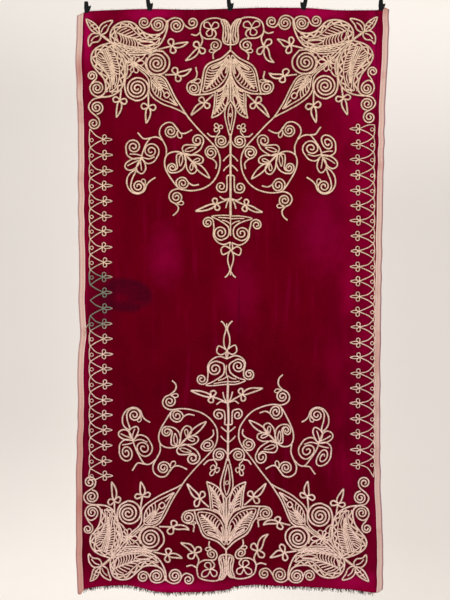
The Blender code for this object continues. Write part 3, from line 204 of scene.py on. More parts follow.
def pointed_leaf(base: Place, tip: Place, across: float, bow: float = 0.0, lean: float = 0.0) -> np.ndarray:
    """Draw the outline of a pointed leaf.

    Args:
        base: where it leaves its stem.
        tip: its point.
        across: its greatest width.
        bow: how far it bends to one side.
        lean: how far its widest place shifts along it.

    Returns:
        The outline's points, one a row.
    """
    b, d, n = axis_of(base, tip)
    k = np.linspace(0, 1, 9)
    w = across / 2 * np.sin(np.pi * k ** (0.8 + lean)) ** 0.85
    mid = b + d * k[:, None] + n * (bow * np.sin(np.pi * k))[:, None]
    one, two = mid + n * w[:, None], mid - n * w[:, None]
    return np.vstack([one, two[-2:0:-1]])


def run_along(line: np.ndarray) -> np.ndarray:
    """Give a line's length up to each of its points."""
    return np.concatenate([[0], np.cumsum(np.hypot(*np.diff(line, axis=0).T))])


def share_of(line: np.ndarray, share: float) -> np.ndarray:
    """Find the place at a share of a line's length."""
    run = run_along(line)
    return np.array([np.interp(share * run[-1], run, line[:, k]) for k in (0, 1)])


@dataclass(frozen=True)
class Strand:
    """One length of braid: its points, whether it closes on itself, and its width."""

    points: np.ndarray
    closed: bool
    width: float

    def trace(self) -> tuple[np.ndarray, np.ndarray]:
        """Give its points, a closed strand's first one again at their end, and the length up to each."""
        p = np.vstack([self.points, self.points[:1]]) if self.closed else self.points
        return p, run_along(p)


@dataclass
class Sketch:
    """A drawing that strands of braid are added to."""

    strands: list[Strand] = field(default_factory=list)

    def motifs(self) -> tuple[Callable[[], None], ...]:
        """Give the calls that draw its motifs, in order."""
        return ()

    def draw(self) -> list[Strand]:
        """Draw every motif in turn and return the strands."""
        for motif in self.motifs():
            motif()
        return self.strands

    def add(self, points: np.ndarray, closed: bool = False, width: float = BRAID) -> None:
        """Add a strand along ready points."""
        self.strands.append(Strand(np.asarray(points, float), closed, width))

    def line(self, path: Path, width: float = BRAID) -> None:
        """Add an open strand that flows through some places."""
        self.add(smooth(path), False, width)

    def lines(self, width: float, *paths: Path) -> None:
        """Add several open strands of one width."""
        for path in paths:
            self.line(path, width)

    def ring(self, path: Path, width: float = BRAID) -> None:
        """Add a closed strand that flows through some places."""
        self.add(smooth(path, closed=True), True, width)

    def coil(self, start: Place, centre: Place, turns: float, hand: int) -> None:
        """Add a strand that winds inwards round a centre."""
        self.add(coil(start, centre, turns, hand))

    def swirl(self, path: Path, centre: Place, turns: float, hand: int, inner: float = COIL_END,
              width: float = BRAID) -> None:
        """Add a stem through a path whose last place starts a coil."""
        self.add(np.vstack([smooth(path)[:-1], coil(path[-1], centre, turns, hand, inner)]), False, width)

    def drop(self, base: Place, tip: Place, across: float, width: float) -> None:
        """Add a drop-shaped loop."""
        self.add(teardrop(base, tip, across), True, width)

    def leaf(self, base: Place, tip: Place, across: float, bow: float = 0.0, lean: float = 0.0,
             width: float = BRAID) -> None:
        """Add a pointed leaf."""
        self.add(pointed_leaf(base, tip, across, bow, lean), True, width)

    def sprig(self, stem: Path, tip: Place, size: float, across: float, bow: float, width: float = 2.0) -> None:
        """Add a stem that ends in two side loops and a leaf.

        Args:
            stem: the stem's places.
            tip: the point of its leaf.
            size: the side loops' size.
            across: the leaf's width.
            bow: how far the leaf bends.
            width: the strands' width.
        """
        heart = np.asarray(stem[-1], float)
        ahead = np.asarray(tip, float) - heart
        ahead = ahead / math.hypot(*ahead)
        side = np.array([-ahead[1], ahead[0]])
        self.line(stem, width)
        for hand in (1, -1):
            self.drop(heart, heart + hand * side * size * 1.35, size, width)
        self.leaf(heart + ahead * 0.3, tip, across * 0.98, bow, -0.12, width)

    def bundle(self, path: Path, offsets: tuple[float, ...], width: float, taper: float) -> None:
        """Add strands side by side along one line.

        Args:
            path: places on the line.
            offsets: how far each strand starts to one side of it.
            width: the strands' width.
            taper: share of the offsets that is left at the line's end.
        """
        line = smooth(path)
        ahead = np.gradient(line, axis=0)
        ahead = ahead / np.hypot(*ahead.T)[:, None]
        side = np.stack([-ahead[:, 1], ahead[:, 0]], 1)
        at = np.linspace(0, 1, len(line))[:, None]
        for offset in offsets:
            self.add(line + side * offset * (1 - (1 - taper) * at ** 1.5), False, width)

    def lattice(self, outer: Path, inner: Path, width: float = 2.25, pitch: float = 9.0) -> None:
        """Weave a strand to and fro between two rings, so that small eyes stay open between them.

        Args:
            outer: places on the outer ring, from the same end as the inner ring's.
            inner: places on the inner ring.
            width: the strand's width.
            pitch: length of one eye.
        """
        one, two = smooth(outer), smooth(inner)
        count = max(3, int(round(run_along(one)[-1] / pitch)))
        at = np.linspace(0, 1, count * 8 + 1)
        a = np.array([share_of(one, k) for k in at])
        b = np.array([share_of(two, k) for k in at])
        sway = (0.5 + 0.25 * np.sin(TAU * at * count))[:, None]
        self.add(a * (1 - sway) + b * sway, False, width)

    def hatch(self, vein: Path, edge: Path, count: int, width: float, start: Place, end: Place) -> None:
        """Fill half of a leaf with ribs from its vein to its edge.

        Args:
            vein: places on the vein.
            edge: places on the leaf's edge.
            count: how many ribs.
            width: the ribs' width.
            start: the stretch of the vein that they leave, as shares of its length.
            end: the stretch of the edge that they reach.
        """
        vein, edge = smooth(vein), smooth(edge)
        ahead = share_of(vein, 1) - share_of(vein, 0)
        ahead = ahead / max(math.hypot(*ahead), 1e-6)
        for i in range(count):
            k = (i + 0.5) / count
            a = share_of(vein, start[0] + (start[1] - start[0]) * k)
            b = share_of(edge, end[0] + (end[1] - end[0]) * k)
            bent = (a + b) / 2 + ahead * RIB_BEND * math.hypot(*(b - a))
            self.add(smooth([a, bent, b], per=4), False, width)


@dataclass
class CornerDrawing(Sketch):
    """One corner of the braid with its vine, as laid at the upper left."""

    def motifs(self) -> tuple[Callable[[], None], ...]:
        """Give the calls that draw the corner's motifs, in order."""
        return (self.corner_sprig, self.upper_boteh, self.side_boteh, self.palmette_heart, self.diamond_leaf,
                self.great_spirals, self.upper_scroll, self.side_scroll, self.outer_sprigs, self.vine,
                self.rosette, self.ring_flower, self.hanging_scroll)

    def corner_sprig(self) -> None:
        """Three pointed leaves at the outer corner."""
        self.leaf((-131.1, 33), (-144.4, 18.2), 7)
        self.line([(-131.5, 32.6), (-136.6, 27), (-141.8, 20.8)], 1.6)
        self.lines(1.3, [(-139.9, 25.8), (-138.6, 24.2), (-136, 23.9)],
                   [(-136.9, 29.2), (-135.4, 27.4), (-132.8, 27.2)])
        self.ring([(-130.9, 32.6), (-130.9, 26.4), (-126.3, 21.8), (-117.9, 19.9), (-121.5, 25.8),
                   (-123.7, 30.8), (-127.7, 33.4)])
        self.line([(-129.5, 31.6), (-127.3, 27), (-123.5, 24)], 1.5)
        self.ring([(-131.7, 33), (-138.1, 32.8), (-142.1, 38), (-141.3, 45.4), (-138.1, 41.8), (-132.5, 40.8),
                   (-129.7, 36.8)])
        self.line([(-131.9, 34.8), (-136.5, 36.6), (-139.5, 40.4)], 1.5)
        self.line([(-131.3, 32.6), (-118.5, 42.2)], 2.9)

    def upper_boteh(self) -> None:
        """The bent leaf that runs along the upper edge."""
        outer = [(-118.5, 41.4), (-120.2, 36.6), (-119.5, 30.6), (-115.9, 25.3), (-110.3, 21.9), (-103.5, 20.8),
                 (-96.9, 22.4), (-91.1, 27.8), (-86.1, 32), (-80.9, 33.8), (-75.1, 34), (-69.7, 32.6)]
        under = [(-66.1, 29.2), (-64.5, 24.4), (-63.1, 19.6), (-63.2, 27), (-65.9, 35.6), (-69.9, 42.6)]
        below = [(-75.1, 47), (-84.5, 48.8), (-94.5, 48.6), (-103.5, 47), (-111.9, 44.6)]
        self.ring(outer + under + below, 2)
        upper = [(-113.6, 39.8), (-115.3, 36), (-114.9, 32), (-112.3, 28.4), (-108.6, 26.3), (-103.7, 25.5),
                 (-99.6, 26.7), (-94.6, 31.5), (-88.8, 36.2), (-81.9, 38.5), (-75.6, 38.6), (-70.9, 37)]
        lower = [(-74.4, 42), (-81.5, 45.4), (-90.5, 46.4), (-100.5, 45.6), (-108.7, 43.2)]
        self.ring(upper + lower, 1.5)
        self.lattice(outer, upper)
        self.lattice([(-67.3, 38.6), *below, outer[0]], [(-70.9, 37), *lower, upper[0]], 1.4, 8)
        self.lattice([(-108.3, 46.6), (-101.5, 48.2), (-94.5, 49.4), (-86, 49.4), (-78.5, 48.4)],
                     [(-108.3, 48.8), (-101.5, 50.6), (-94.5, 51.1), (-86, 50.7), (-78.5, 49.6)], 1.5, 5)
        vein = [(-113.6, 31.8), (-108.5, 33.9), (-101.5, 36.2), (-95, 38.2), (-86, 40.2), (-77.5, 40.8)]
        self.line(vein, 2.3)
        self.lines(1.5, [(-114, 33.4), (-113.6, 37), (-112, 40.4)],
                   [(-112, 31.6), (-108.8, 29.2), (-103.4, 26.9)],
                   [(-109.6, 33.2), (-105.4, 30.8), (-100.3, 28.4)],
                   [(-106.4, 34.4), (-102.4, 32.7), (-97.6, 30.6)],
                   [(-102.9, 35.5), (-98.9, 34.5), (-94.8, 32.9)],
                   [(-98.6, 36.8), (-94.9, 36.4), (-91.2, 35.3)], [(-93.4, 38.3), (-90.2, 38), (-86.6, 37.4)])
        self.hatch(vein, [(-112.4, 41.4), (-107, 43.6), (-101.5, 45.2), (-96, 45.9), (-91, 46.1)], 7, 1.4,
                   (0.03, 0.56), (0.04, 1))
        self.leaf((-92.4, 41.8), (-75.4, 42.2), 3.8, 0.9, width=1.5)

    def side_boteh(self) -> None:
        """The bent leaf that runs down the side."""
        outer = [(-118.9, 42.2), (-124.5, 43.2), (-130.5, 45.1), (-135.8, 48.7), (-138.7, 53.6), (-139.1, 60),
                 (-136.2, 66.4), (-131.7, 71.8), (-127.5, 76.4), (-125.3, 81), (-124.5, 86.4), (-125.5, 91.4)]
        tail = [(-128.9, 95), (-132.7, 96.2), (-125.9, 96.2), (-119.9, 95.2)]
        back = [(-114.3, 92.6), (-109.9, 88.6), (-107.1, 83), (-105.9, 75.6), (-106.1, 68), (-107.8, 59.8),
                (-111.3, 52.2), (-115.5, 46.4)]
        self.ring(outer + tail + back, 2)
        inner = [(-119.9, 47), (-125.2, 48.2), (-130.4, 50.4), (-133.5, 54.4), (-133.9, 59.4), (-131.4, 64.2),
                 (-127, 69.2), (-123, 73.9), (-120.7, 79.4), (-120, 85.4), (-120.8, 91)]
        turn = [(-115.9, 88.4), (-113.4, 84.6), (-111.6, 79.4), (-110.9, 73), (-111.2, 66.4), (-113.2, 59.2),
                (-116.2, 52)]
        self.ring(inner + turn, 1.5)
        self.lattice(outer, inner)
        self.lattice([(-118.5, 94.6), *back, outer[0]], [(-118.9, 90.8), *turn, inner[0]])
        vein = [(-125.2, 47.8), (-122.2, 55), (-120, 61.2), (-118, 67.4), (-117, 74), (-117.2, 84)]
        self.bundle(vein, (-1.9, 0, 1.9, 3.8), 1.75, 0.3)
        self.lines(1.4, [(-132.8, 52.8), (-128.8, 55.2), (-125.4, 59.4)],
                   [(-131.2, 50.9), (-128.2, 52), (-125.4, 55.4)],
                   [(-123.4, 49.3), (-119.4, 49.4), (-116.8, 50.9)],
                   [(-122.6, 51.8), (-118.8, 52.2), (-115.6, 53.8)])
        self.hatch([(-129.5, 52), (-126.5, 56.5), (-124.2, 61.5), (-121.9, 67), (-119.6, 73), (-118.6, 79)],
                   [(-133.3, 53.5), (-133.7, 59), (-131.3, 64.2), (-127, 69.2), (-123, 73.9), (-121, 78)], 9,
                   1.4, (0.2, 1), (0, 0.74))
        self.hatch(vein, [(-114.8, 53), (-113, 59), (-111.3, 65), (-111, 71), (-111.5, 77)], 8, 1.5,
                   (0.06, 0.66), (0, 0.9))
        self.line([(-114.8, 73), (-113.7, 79), (-116, 86.6)], 1.5)
        self.line([(-119.6, 77), (-118.6, 82), (-118.2, 88.4)], 1.3)

    def palmette_heart(self) -> None:
        """The fan of petals and the half leaves between the two bent leaves."""
        self.line([(-118.5, 42), (-108.9, 50.8), (-97.3, 62.4)], 2)
        self.lines(1.6, [(-116.5, 41.6), (-106.5, 49.6), (-97.1, 58.6)],
                   [(-118.6, 43.6), (-110.6, 52), (-101.6, 62.6)])
        self.lines(1.8, [(-109.5, 49.4), (-101.5, 51.4), (-92.5, 51.9), (-83.5, 51.2), (-72.9, 48.6)],
                   [(-104.5, 52.8), (-97.5, 53.9), (-90, 54.2), (-83.5, 52.9), (-78.5, 50.6)],
                   [(-85.1, 53), (-87.5, 57.2), (-91.9, 59.6)],
                   [(-108.7, 52.6), (-105.7, 59), (-105, 67), (-105.1, 73), (-105.5, 78.4)],
                   [(-104.9, 58.6), (-103.1, 65), (-103.2, 71), (-104.3, 76)],
                   [(-105.3, 78.4), (-101.5, 76), (-99.1, 72.2)])
        heart = (-97.5, 62.9)
        for tip, width in (((-96.3, 55.4), 3), ((-91.5, 56.6), 3.2), ((-101.9, 57.8), 3), ((-104.1, 62.9), 3),
                           ((-102.7, 68.4), 4.2), ((-98.7, 71.6), 3)):
            self.drop(heart, tip, width, 1.25)
        self.drop((-95.9, 62.9), (-86.3, 61.8), 4.6, 1.6)
        self.drop((-96.3, 64.2), (-93.5, 72), 4.2, 1.5)

    def diamond_leaf(self) -> None:
        """The long diamond leaf that points to the middle."""
        self.lines(1.8,
                   [(-96.1, 61.4), (-89.1, 66), (-83.9, 70.4), (-78.5, 73.9), (-72.3, 74), (-65.9, 77),
                    (-61.2, 84.4), (-55.3, 96.4), (-49.1, 106.2), (-44.1, 113.8)],
                   [(-96.7, 64.4), (-91.1, 69.2), (-85.5, 73.6), (-81.9, 79), (-81.1, 85.4), (-80.9, 91),
                    (-76.8, 97.2), (-67.9, 103), (-58.5, 106.4), (-50.1, 110), (-44.1, 113.8)])
        self.line([(-96.3, 63), (-89.9, 67.8), (-83.5, 72.6), (-79.6, 76.4)], 1.4)
        self.ring([(-78.9, 76.4), (-71.1, 76.7), (-65.9, 80.6), (-61.7, 89), (-55.9, 100.4), (-53.1, 104.6),
                   (-60.5, 101.8), (-68.5, 98.6), (-75.1, 93.8), (-78.3, 87.6), (-79.1, 81.6)], 1.6)
        self.bundle([(-77.9, 78.4), (-74.9, 81.6), (-71.6, 85.6), (-69, 88.8)], (-2.7, -0.9, 0.9, 2.7), 1.75,
                    0.6)
        self.lines(1.4, [(-76.5, 77.6), (-71.5, 78.2), (-66.1, 80.4)],
                   [(-74.5, 80.4), (-69.9, 80.9), (-64.7, 83.2)], [(-72.7, 83.2), (-68.3, 83.8), (-63.1, 86.2)],
                   [(-71.1, 86), (-67, 86.8), (-61.9, 89.2)], [(-76.5, 84.6), (-76.5, 87.6), (-77.9, 90.6)],
                   [(-74.3, 85.8), (-74.3, 90), (-75.7, 93.6)], [(-72.1, 87), (-71.9, 91.6), (-73.1, 95.6)],
                   [(-69.9, 88.4), (-69.5, 93), (-70.4, 97.4)])
        self.ring([(-63.8, 91.4), (-61.1, 94.2), (-63.8, 97), (-66.6, 94.2)], 1.8)
        self.lines(1.8, [(-69.3, 88), (-67.3, 90.4), (-66.3, 93)],
                   [(-61.1, 97.6), (-57.5, 100.6), (-54.9, 103.6)])

    def great_spirals(self) -> None:
        """The two large spirals beside the diamond leaf."""
        self.swirl([(-67.5, 50.4), (-61.5, 58), (-61.9, 66.6), (-67.1, 72.4), (-73.9, 74)], (-73.7, 62.6), 3,
                   CW, width=2.1)
        self.lines(1.8, [(-81.9, 54.6), (-75.5, 50.4), (-67.5, 50.4)],
                   [(-83.7, 56.8), (-85.3, 62.4), (-83.3, 68.4), (-78.9, 72.6), (-73.9, 74)])
        self.swirl([(-105.3, 77), (-105.7, 87), (-102.7, 95.4), (-95.1, 99.8)], (-93.3, 87.4), 3.25, CCW,
                   width=2.1)

    def upper_scroll(self) -> None:
        """The running scroll along the upper edge."""
        self.swirl([(-63.9, 21.6), (-66.9, 18.4), (-72.2, 17), (-77.7, 18.6), (-80, 22.4), (-82.1, 25.6),
                    (-86.1, 27.1)], (-86.3, 21.5), 1.75, CW)
        self.coil((-78.9, 22.8), (-72.5, 23.9), 2.15, CCW)
        self.swirl([(-63.9, 24), (-61.4, 19.3), (-55.3, 17), (-49.5, 18.8), (-45.6, 24.4), (-40.5, 27.7),
                    (-35.1, 26.2)], (-38.1, 21.8), 1.6, CCW)
        self.coil((-47.1, 23.4), (-54.1, 24.7), 2.15, CW)

    def side_scroll(self) -> None:
        """The running scroll down the side."""
        self.swirl([(-126.5, 95.8), (-132.7, 95.9), (-138.2, 93), (-140.6, 87), (-138.2, 81.8), (-134.7, 78.4)],
                   (-138.6, 75), 1.7, CCW)
        self.coil((-138.7, 83.2), (-133.3, 87.2), 2.1, CW)
        self.swirl([(-126.5, 95.8), (-136.5, 98.2), (-140.9, 102.6), (-141.7, 107), (-139.3, 111),
                    (-135.3, 114.5), (-131.9, 118), (-130.7, 122)], (-136.7, 122.6), 1.75, CW)
        self.coil((-133.7, 113.4), (-133.7, 106.6), 2, CCW)

    def outer_sprigs(self) -> None:
        """The four sprigs round the corner."""
        self.sprig([(-71.9, 48.6), (-65.5, 46.8), (-58.5, 45.2)], (-42.2, 41.2), 5.4, 4.6, 1)
        self.sprig([(-65.5, 74), (-59.5, 73.8), (-53.9, 73.6)], (-39.1, 67.8), 5.4, 4.8, 1.6)
        self.sprig([(-82.1, 92), (-82.1, 99), (-82, 106)], (-84.3, 122.4), 5.4, 5, -0.6)
        self.sprig([(-109.3, 89), (-109.9, 94), (-110.5, 99.6)], (-114.1, 116.6), 5.2, 4.8, -0.8)

    def vine(self) -> None:
        """The vine from the corner to its ring, with its first curls."""
        self.line([(-44.1, 113.8), (-40.2, 119), (-30.1, 130.4), (-20.1, 140.6), (-13.5, 148.6), (-10.5, 158),
                   (-11.6, 170), (-16.9, 180), (-25.4, 186.6), (-36.5, 189.6), (-46.5, 189), (-52.5, 186.4),
                   (-58.3, 179.3), (-64.1, 170), (-65.9, 162), (-64.3, 155.2), (-59.6, 151.6), (-52.9, 150.8),
                   (-46.2, 153)])
        self.swirl([(-64.3, 155.2), (-64.3, 147.1), (-67.6, 139.8), (-71, 133), (-69.5, 126.2), (-63.6, 121.8),
                    (-57.5, 122.6), (-53.6, 128)], (-60.1, 130.2), 0.02, CW, inner=6.6)
        self.line([(-57.5, 122.6), (-53.5, 127.4), (-49.9, 132), (-44.9, 132.2), (-38.5, 128.8)])
        self.coil((-53.1, 130.6), (-59.9, 130.4), 2.1, CW)
        self.drop((-52.7, 130), (-49.7, 137.2), 4, 1.4)
        self.lines(1.8,
                   [(-67.6, 139.8), (-73, 136.4), (-79.7, 137.2), (-84.4, 143.2), (-87.7, 151.2),
                    (-89.1, 156.5)], [(-79.5, 137), (-86.9, 137.8), (-92.7, 131.8)])

    def rosette(self) -> None:
        """The rosette outside the vine."""
        self.swirl([(-89.1, 156.8), (-96.9, 158), (-103.1, 154.4), (-104.5, 148)], (-96.9, 146), 2, CW)
        self.line([(-89.5, 154.6), (-94.9, 153.4), (-100.7, 153.2)], 1.6)
        self.swirl([(-89.1, 157), (-83.5, 162.6), (-76.5, 160.6), (-72.1, 153.8)], (-79.5, 150), 2, CCW)
        self.line([(-88.7, 156.4), (-81.7, 158), (-75.9, 155.8)], 1.6)
        self.ring([(-90, 157.4), (-98.2, 158.4), (-104.4, 162.4), (-105.2, 166.8), (-101, 169.4),
                   (-95.5, 167.4), (-91.5, 162.6)])
        self.line([(-90.9, 159), (-97.5, 162), (-103, 164.9)], 1.6)
        self.ring([(-89.3, 158), (-85.7, 162.4), (-84.9, 168.4), (-88.5, 172.8), (-92.9, 170.6),
                   (-93.9, 165.6)])
        self.line([(-89.9, 161), (-89.3, 166), (-88.9, 169.6)], 1.3)
        self.line([(-93.9, 168.4), (-99.5, 171.6), (-103.2, 177.2), (-103.2, 184.6), (-99.1, 190.8),
                   (-92.4, 193), (-86.4, 190), (-83.7, 183.8), (-80.1, 179.8), (-75.1, 176.6)])
        self.swirl([(-94.3, 170), (-98.5, 178.6), (-99.7, 185)], (-92.1, 185.4), 2.1, CCW)
        self.drop((-85.9, 184.6), (-87.7, 178.2), 3.8, 1.4)

    def ring_flower(self) -> None:
        """The flower inside the vine's ring."""
        self.swirl([(-46.2, 152.6), (-40.5, 154.4), (-34.5, 151.6), (-29.9, 148), (-27.5, 142.6)],
                   (-33.2, 139.4), 1.75, CCW)
        self.line([(-46.2, 152.4), (-48.3, 147.8), (-45.9, 144.3), (-39.5, 143.9), (-32.8, 144.4),
                   (-29.5, 141.2)])
        self.leaf((-45.7, 150), (-33.9, 146.4), 3.6, width=1.3)
        self.swirl([(-46.2, 153.4), (-44.7, 160.5), (-47.3, 167.4), (-52.9, 171.2), (-59.1, 172)],
                   (-58.3, 166.8), 1.75, CW)
        self.line([(-46.5, 153), (-53.3, 153.6), (-53.9, 160.6), (-53.1, 166.6), (-55.9, 169.6)])
        self.leaf((-49.1, 153.6), (-50.3, 165.4), 3.6, width=1.3)
        self.ring([(-45.5, 153), (-39.5, 154), (-32.1, 154.2), (-27.5, 157.6), (-28.9, 162), (-36.9, 161.8)])
        self.ring([(-45.5, 154), (-44.7, 161), (-43.5, 168), (-39.5, 172.6), (-34.9, 171), (-34.1, 166.4),
                   (-37.3, 161.6)])
        self.drop((-37.9, 160.6), (-30.7, 158.2), 3, 1.2)
        self.drop((-38.3, 161.6), (-39.5, 169.4), 3, 1.2)
        self.leaf((-36.9, 161.8), (-20.7, 177.4), 5.6, -0.3)
        self.line([(-16.9, 145.4), (-22.1, 145.8), (-25.3, 150.4), (-22.8, 155.8), (-17.4, 158.6),
                   (-14.1, 162.6), (-14.7, 168)])
        self.coil((-18.3, 157.2), (-19.6, 151.7), 1.6, CCW)
        self.line([(-53.5, 185.6), (-54.2, 180.2), (-50.1, 176.7), (-45.3, 177.3), (-41.5, 182), (-37.1, 184.4),
                   (-31.5, 183.6)])
        self.coil((-42.1, 182.2), (-47.6, 182.5), 1.6, CW)

    def hanging_scroll(self) -> None:
        """The scroll that hangs from the vine's ring."""
        self.line([(-46.5, 189), (-53.6, 188), (-59.5, 190.7), (-61.5, 195.6), (-59.3, 200.4), (-54.7, 203),
                   (-52.1, 206.8), (-53.5, 211), (-57.7, 214.8)])
        self.coil((-53.9, 202.2), (-54.1, 196.2), 1.75, CCW)
        self.drop((-53.1, 202.4), (-46.9, 202), 3.6, 1.4)


@dataclass
class MiddleDrawing(Sketch):
    """The left half of the braid on the upper axis."""

    def motifs(self) -> tuple[Callable[[], None], ...]:
        """Give the calls that draw the axis motifs, in order."""
        return (self.twin_bud, self.loop_scroll, self.palmette, self.palmette_curl, self.lower_leaf,
                self.narrow_diamond, self.column, self.bar_and_scrolls)

    def twin_bud(self) -> None:
        """The two buds at the edge of the cloth."""
        self.ring([(-0.1, 43.4), (-5.7, 42.6), (-7.6, 38.6), (-7.2, 32), (-7.1, 26), (-9.3, 19.4), (-5.1, 19.6),
                   (-1.9, 23.4), (-0.1, 28.6), (-0.4, 36)], 2)
        self.lines(2, [(-7.1, 19.8), (-5.1, 25.2), (-4.9, 30.4), (-4.5, 34.8), (-5.7, 38.6), (-4.7, 41.6)],
                   [(-4.3, 21.4), (-2.9, 26), (-2.4, 30.4), (-2.1, 34), (-2.4, 38.6), (-3.3, 42)])

    def loop_scroll(self) -> None:
        """The looped scroll with its three drops."""
        self.lines(1.8,
                   [(-4.5, 21.6), (-10.9, 17.9), (-17.3, 17.3), (-24.1, 18.9), (-28.7, 22.7), (-30.2, 28),
                    (-30.3, 31.6), (-28.5, 35.6), (-23.9, 38.1), (-17.1, 37.9), (-12.2, 38.9), (-9.4, 42.6),
                    (-10.5, 47.2), (-14.5, 50), (-17.5, 53.4), (-17.1, 58.2)],
                   [(-30.3, 31.4), (-34.1, 34.4), (-39.3, 33.5)])
        self.coil((-14.7, 49.6), (-15.3, 44.6), 1.5, CW)
        self.drop((-14.5, 49.8), (-21.3, 50), 3.4, 1.4)
        for tip in ((-26.1, 22.3), (-12.4, 22.4), (-22.3, 35.2)):
            self.drop((-19.2, 27.9), tip, 5.8, 1.6)
        self.line([(-19.2, 28.2), (-15.5, 30.2), (-14.5, 33.8), (-17.1, 37.6)])
        self.sprig([(-30.1, 33), (-28.1, 38.8), (-29.1, 43.2), (-31.1, 46.8)], (-45.1, 59.8), 5.4, 4.6, -1.4)
        self.line([(0, 42.6), (0, 51)], 1.9)

    def palmette(self) -> None:
        """The large ribbed leaf."""
        self.lines(2,
                   [(0, 49.4), (-7.5, 56.4), (-13.5, 59.4), (-21.5, 62.6), (-25.7, 67.4), (-27.5, 74.4),
                    (-28.5, 81), (-29.7, 88.4), (-31.1, 93)],
                   [(-35.7, 93.9), (-27.8, 93.5), (-20.1, 92.4), (-12.5, 89.2), (-6.7, 85.6), (-2.8, 79.2),
                    (-0.7, 73), (0, 59)])
        self.ring([(-1.5, 54.4), (-6.9, 59.4), (-13.1, 62.4), (-20.7, 65.6), (-24.1, 71), (-25.3, 78),
                   (-26.5, 85), (-27.3, 90.8), (-20.1, 89.2), (-12.7, 85.8), (-7.1, 80.4), (-3.7, 74.6),
                   (-1.9, 67), (-1.1, 60)], 1.6)
        vein = [(-3.4, 57.8), (-6.8, 62), (-10.7, 68), (-15.2, 75), (-20.2, 82), (-24.7, 88.2)]
        self.bundle(vein, (-3.6, -1.8, 0), 1.75, 0.15)
        self.bundle([(-3.6, 58.2), (-8.5, 62), (-13.7, 65), (-19.3, 67.6)], (0.8, -1.1), 1.75, 0.7)
        self.line([(-2.9, 58), (-3.5, 66), (-4.9, 72.6)], 2.2)
        self.hatch(vein, [(-20.9, 67.6), (-23.6, 71.6), (-24.7, 77), (-25.7, 83), (-26.4, 87.4)], 7, 1.5,
                   (0.3, 0.93), (0, 0.96))
        self.hatch(vein, [(-5.2, 75.6), (-8.2, 79.8), (-12.5, 84), (-16.5, 86.6), (-20.6, 88.4)], 6, 1.5,
                   (0.2, 0.88), (0, 1))

    def palmette_curl(self) -> None:
        """The curl beside the large leaf."""
        self.line([(-31.1, 93.6), (-35.7, 93.9), (-40.7, 92.2), (-43.4, 87.8), (-42.9, 83.4), (-40.1, 80.7),
                   (-36.5, 78.9), (-34.2, 76), (-33.4, 72.4), (-34.2, 69.2), (-34.6, 66.1)])
        self.coil((-39.7, 81.8), (-36.9, 87.4), 1.9, CW)
        self.drop((-36.9, 81.2), (-29.9, 79.4), 4.2, 1.4)

    def lower_leaf(self) -> None:
        """The narrow ribbed leaf under it, with its sprig."""
        self.lines(1.9, [(-15.1, 90.4), (-15.7, 97), (-16.3, 105), (-17.9, 113), (-18.8, 117)],
                   [(-3.1, 83), (-2.3, 93), (-2.9, 100), (-6.1, 108.4), (-11.9, 114), (-18.8, 117)])
        self.line([(-13.3, 92), (-13.9, 99), (-14.7, 107), (-16.9, 113.6)], 1.4)
        vein = [(-4.9, 86), (-6.7, 93), (-9.3, 101), (-16.4, 113.4)]
        self.bundle(vein, (-2.4, -0.6, 1.2), 1.75, 0.1)
        self.line([(-1.3, 77), (-2.3, 86), (-3.9, 96)], 2.2)
        self.line([(-3.1, 81), (-7.9, 88.4), (-13.1, 91)], 2)
        self.hatch(vein, [(-13.3, 93.4), (-14, 99), (-14.7, 105), (-15.9, 110)], 6, 1.4, (0.08, 0.72), (0, 1))
        self.hatch(vein, [(-4.4, 104), (-8, 109.2), (-13, 113)], 4, 1.4, (0.36, 0.84), (0, 1))
        self.sprig([(-17.1, 93.6), (-21.5, 97.6), (-26.1, 101.8)], (-39.5, 114.4), 5, 4.6, 1)

    def narrow_diamond(self) -> None:
        """The slim diamond on the axis and the curls beside it."""
        self.line([(0, 99.4), (-4.3, 106), (-5.7, 112), (-5.3, 118), (-3.1, 127), (-0.9, 135)], 1.7)
        self.line([(0, 103), (-1.9, 109), (-2.5, 115), (-1.7, 122), (0, 129.4)], 1.3)
        self.line([(0, 57), (0, 101)], 2.4)
        self.line([(0, 112.5), (-1.6, 114.2), (0, 115.9)], 1.1)
        for tip in ((-15.5, 123), (-8.1, 125.2), (-16.1, 130)):
            self.drop((-11.9, 127.4), tip, 3.6, 1.3)
        self.line([(-11.9, 127.4), (-11.1, 131), (-13.7, 135), (-15.1, 140), (-13.3, 144.8), (-8.5, 146.6),
                   (-3.9, 144.6), (-0.9, 140)])
        self.coil((-13.1, 136.6), (-9.1, 140.2), 1.8, CW)
        self.line([(-13.9, 135.6), (-19.3, 135.4), (-23.2, 132.2)])

    def column(self) -> None:
        """The stem on the axis with its tendrils and side sprig."""
        self.line([(0, 133), (0, 192)], 2.6)
        self.lines(1.6, [(-0.3, 153.4), (-4.5, 157), (-7.3, 160.4)],
                   [(-0.3, 163.6), (-4.5, 167), (-7.1, 170.2)])
        self.swirl([(-0.1, 174), (-3.5, 175.6), (-3.5, 183), (-4.3, 190), (-8.9, 191.2)], (-9.3, 185.8), 1.5,
                   CW)
        self.line([(0, 191), (0, 216)], 2.8)
        self.lines(1.6, [(-0.5, 197.2), (-6.5, 198.4), (-10.9, 195.6)],
                   [(-0.5, 197.4), (-3.1, 201.4), (-4.7, 207.2)])
        self.sprig([(-1.1, 197.6), (-7.5, 200.6), (-14.4, 203.3)], (-35.1, 210.2), 4.6, 4.4, -0.6)

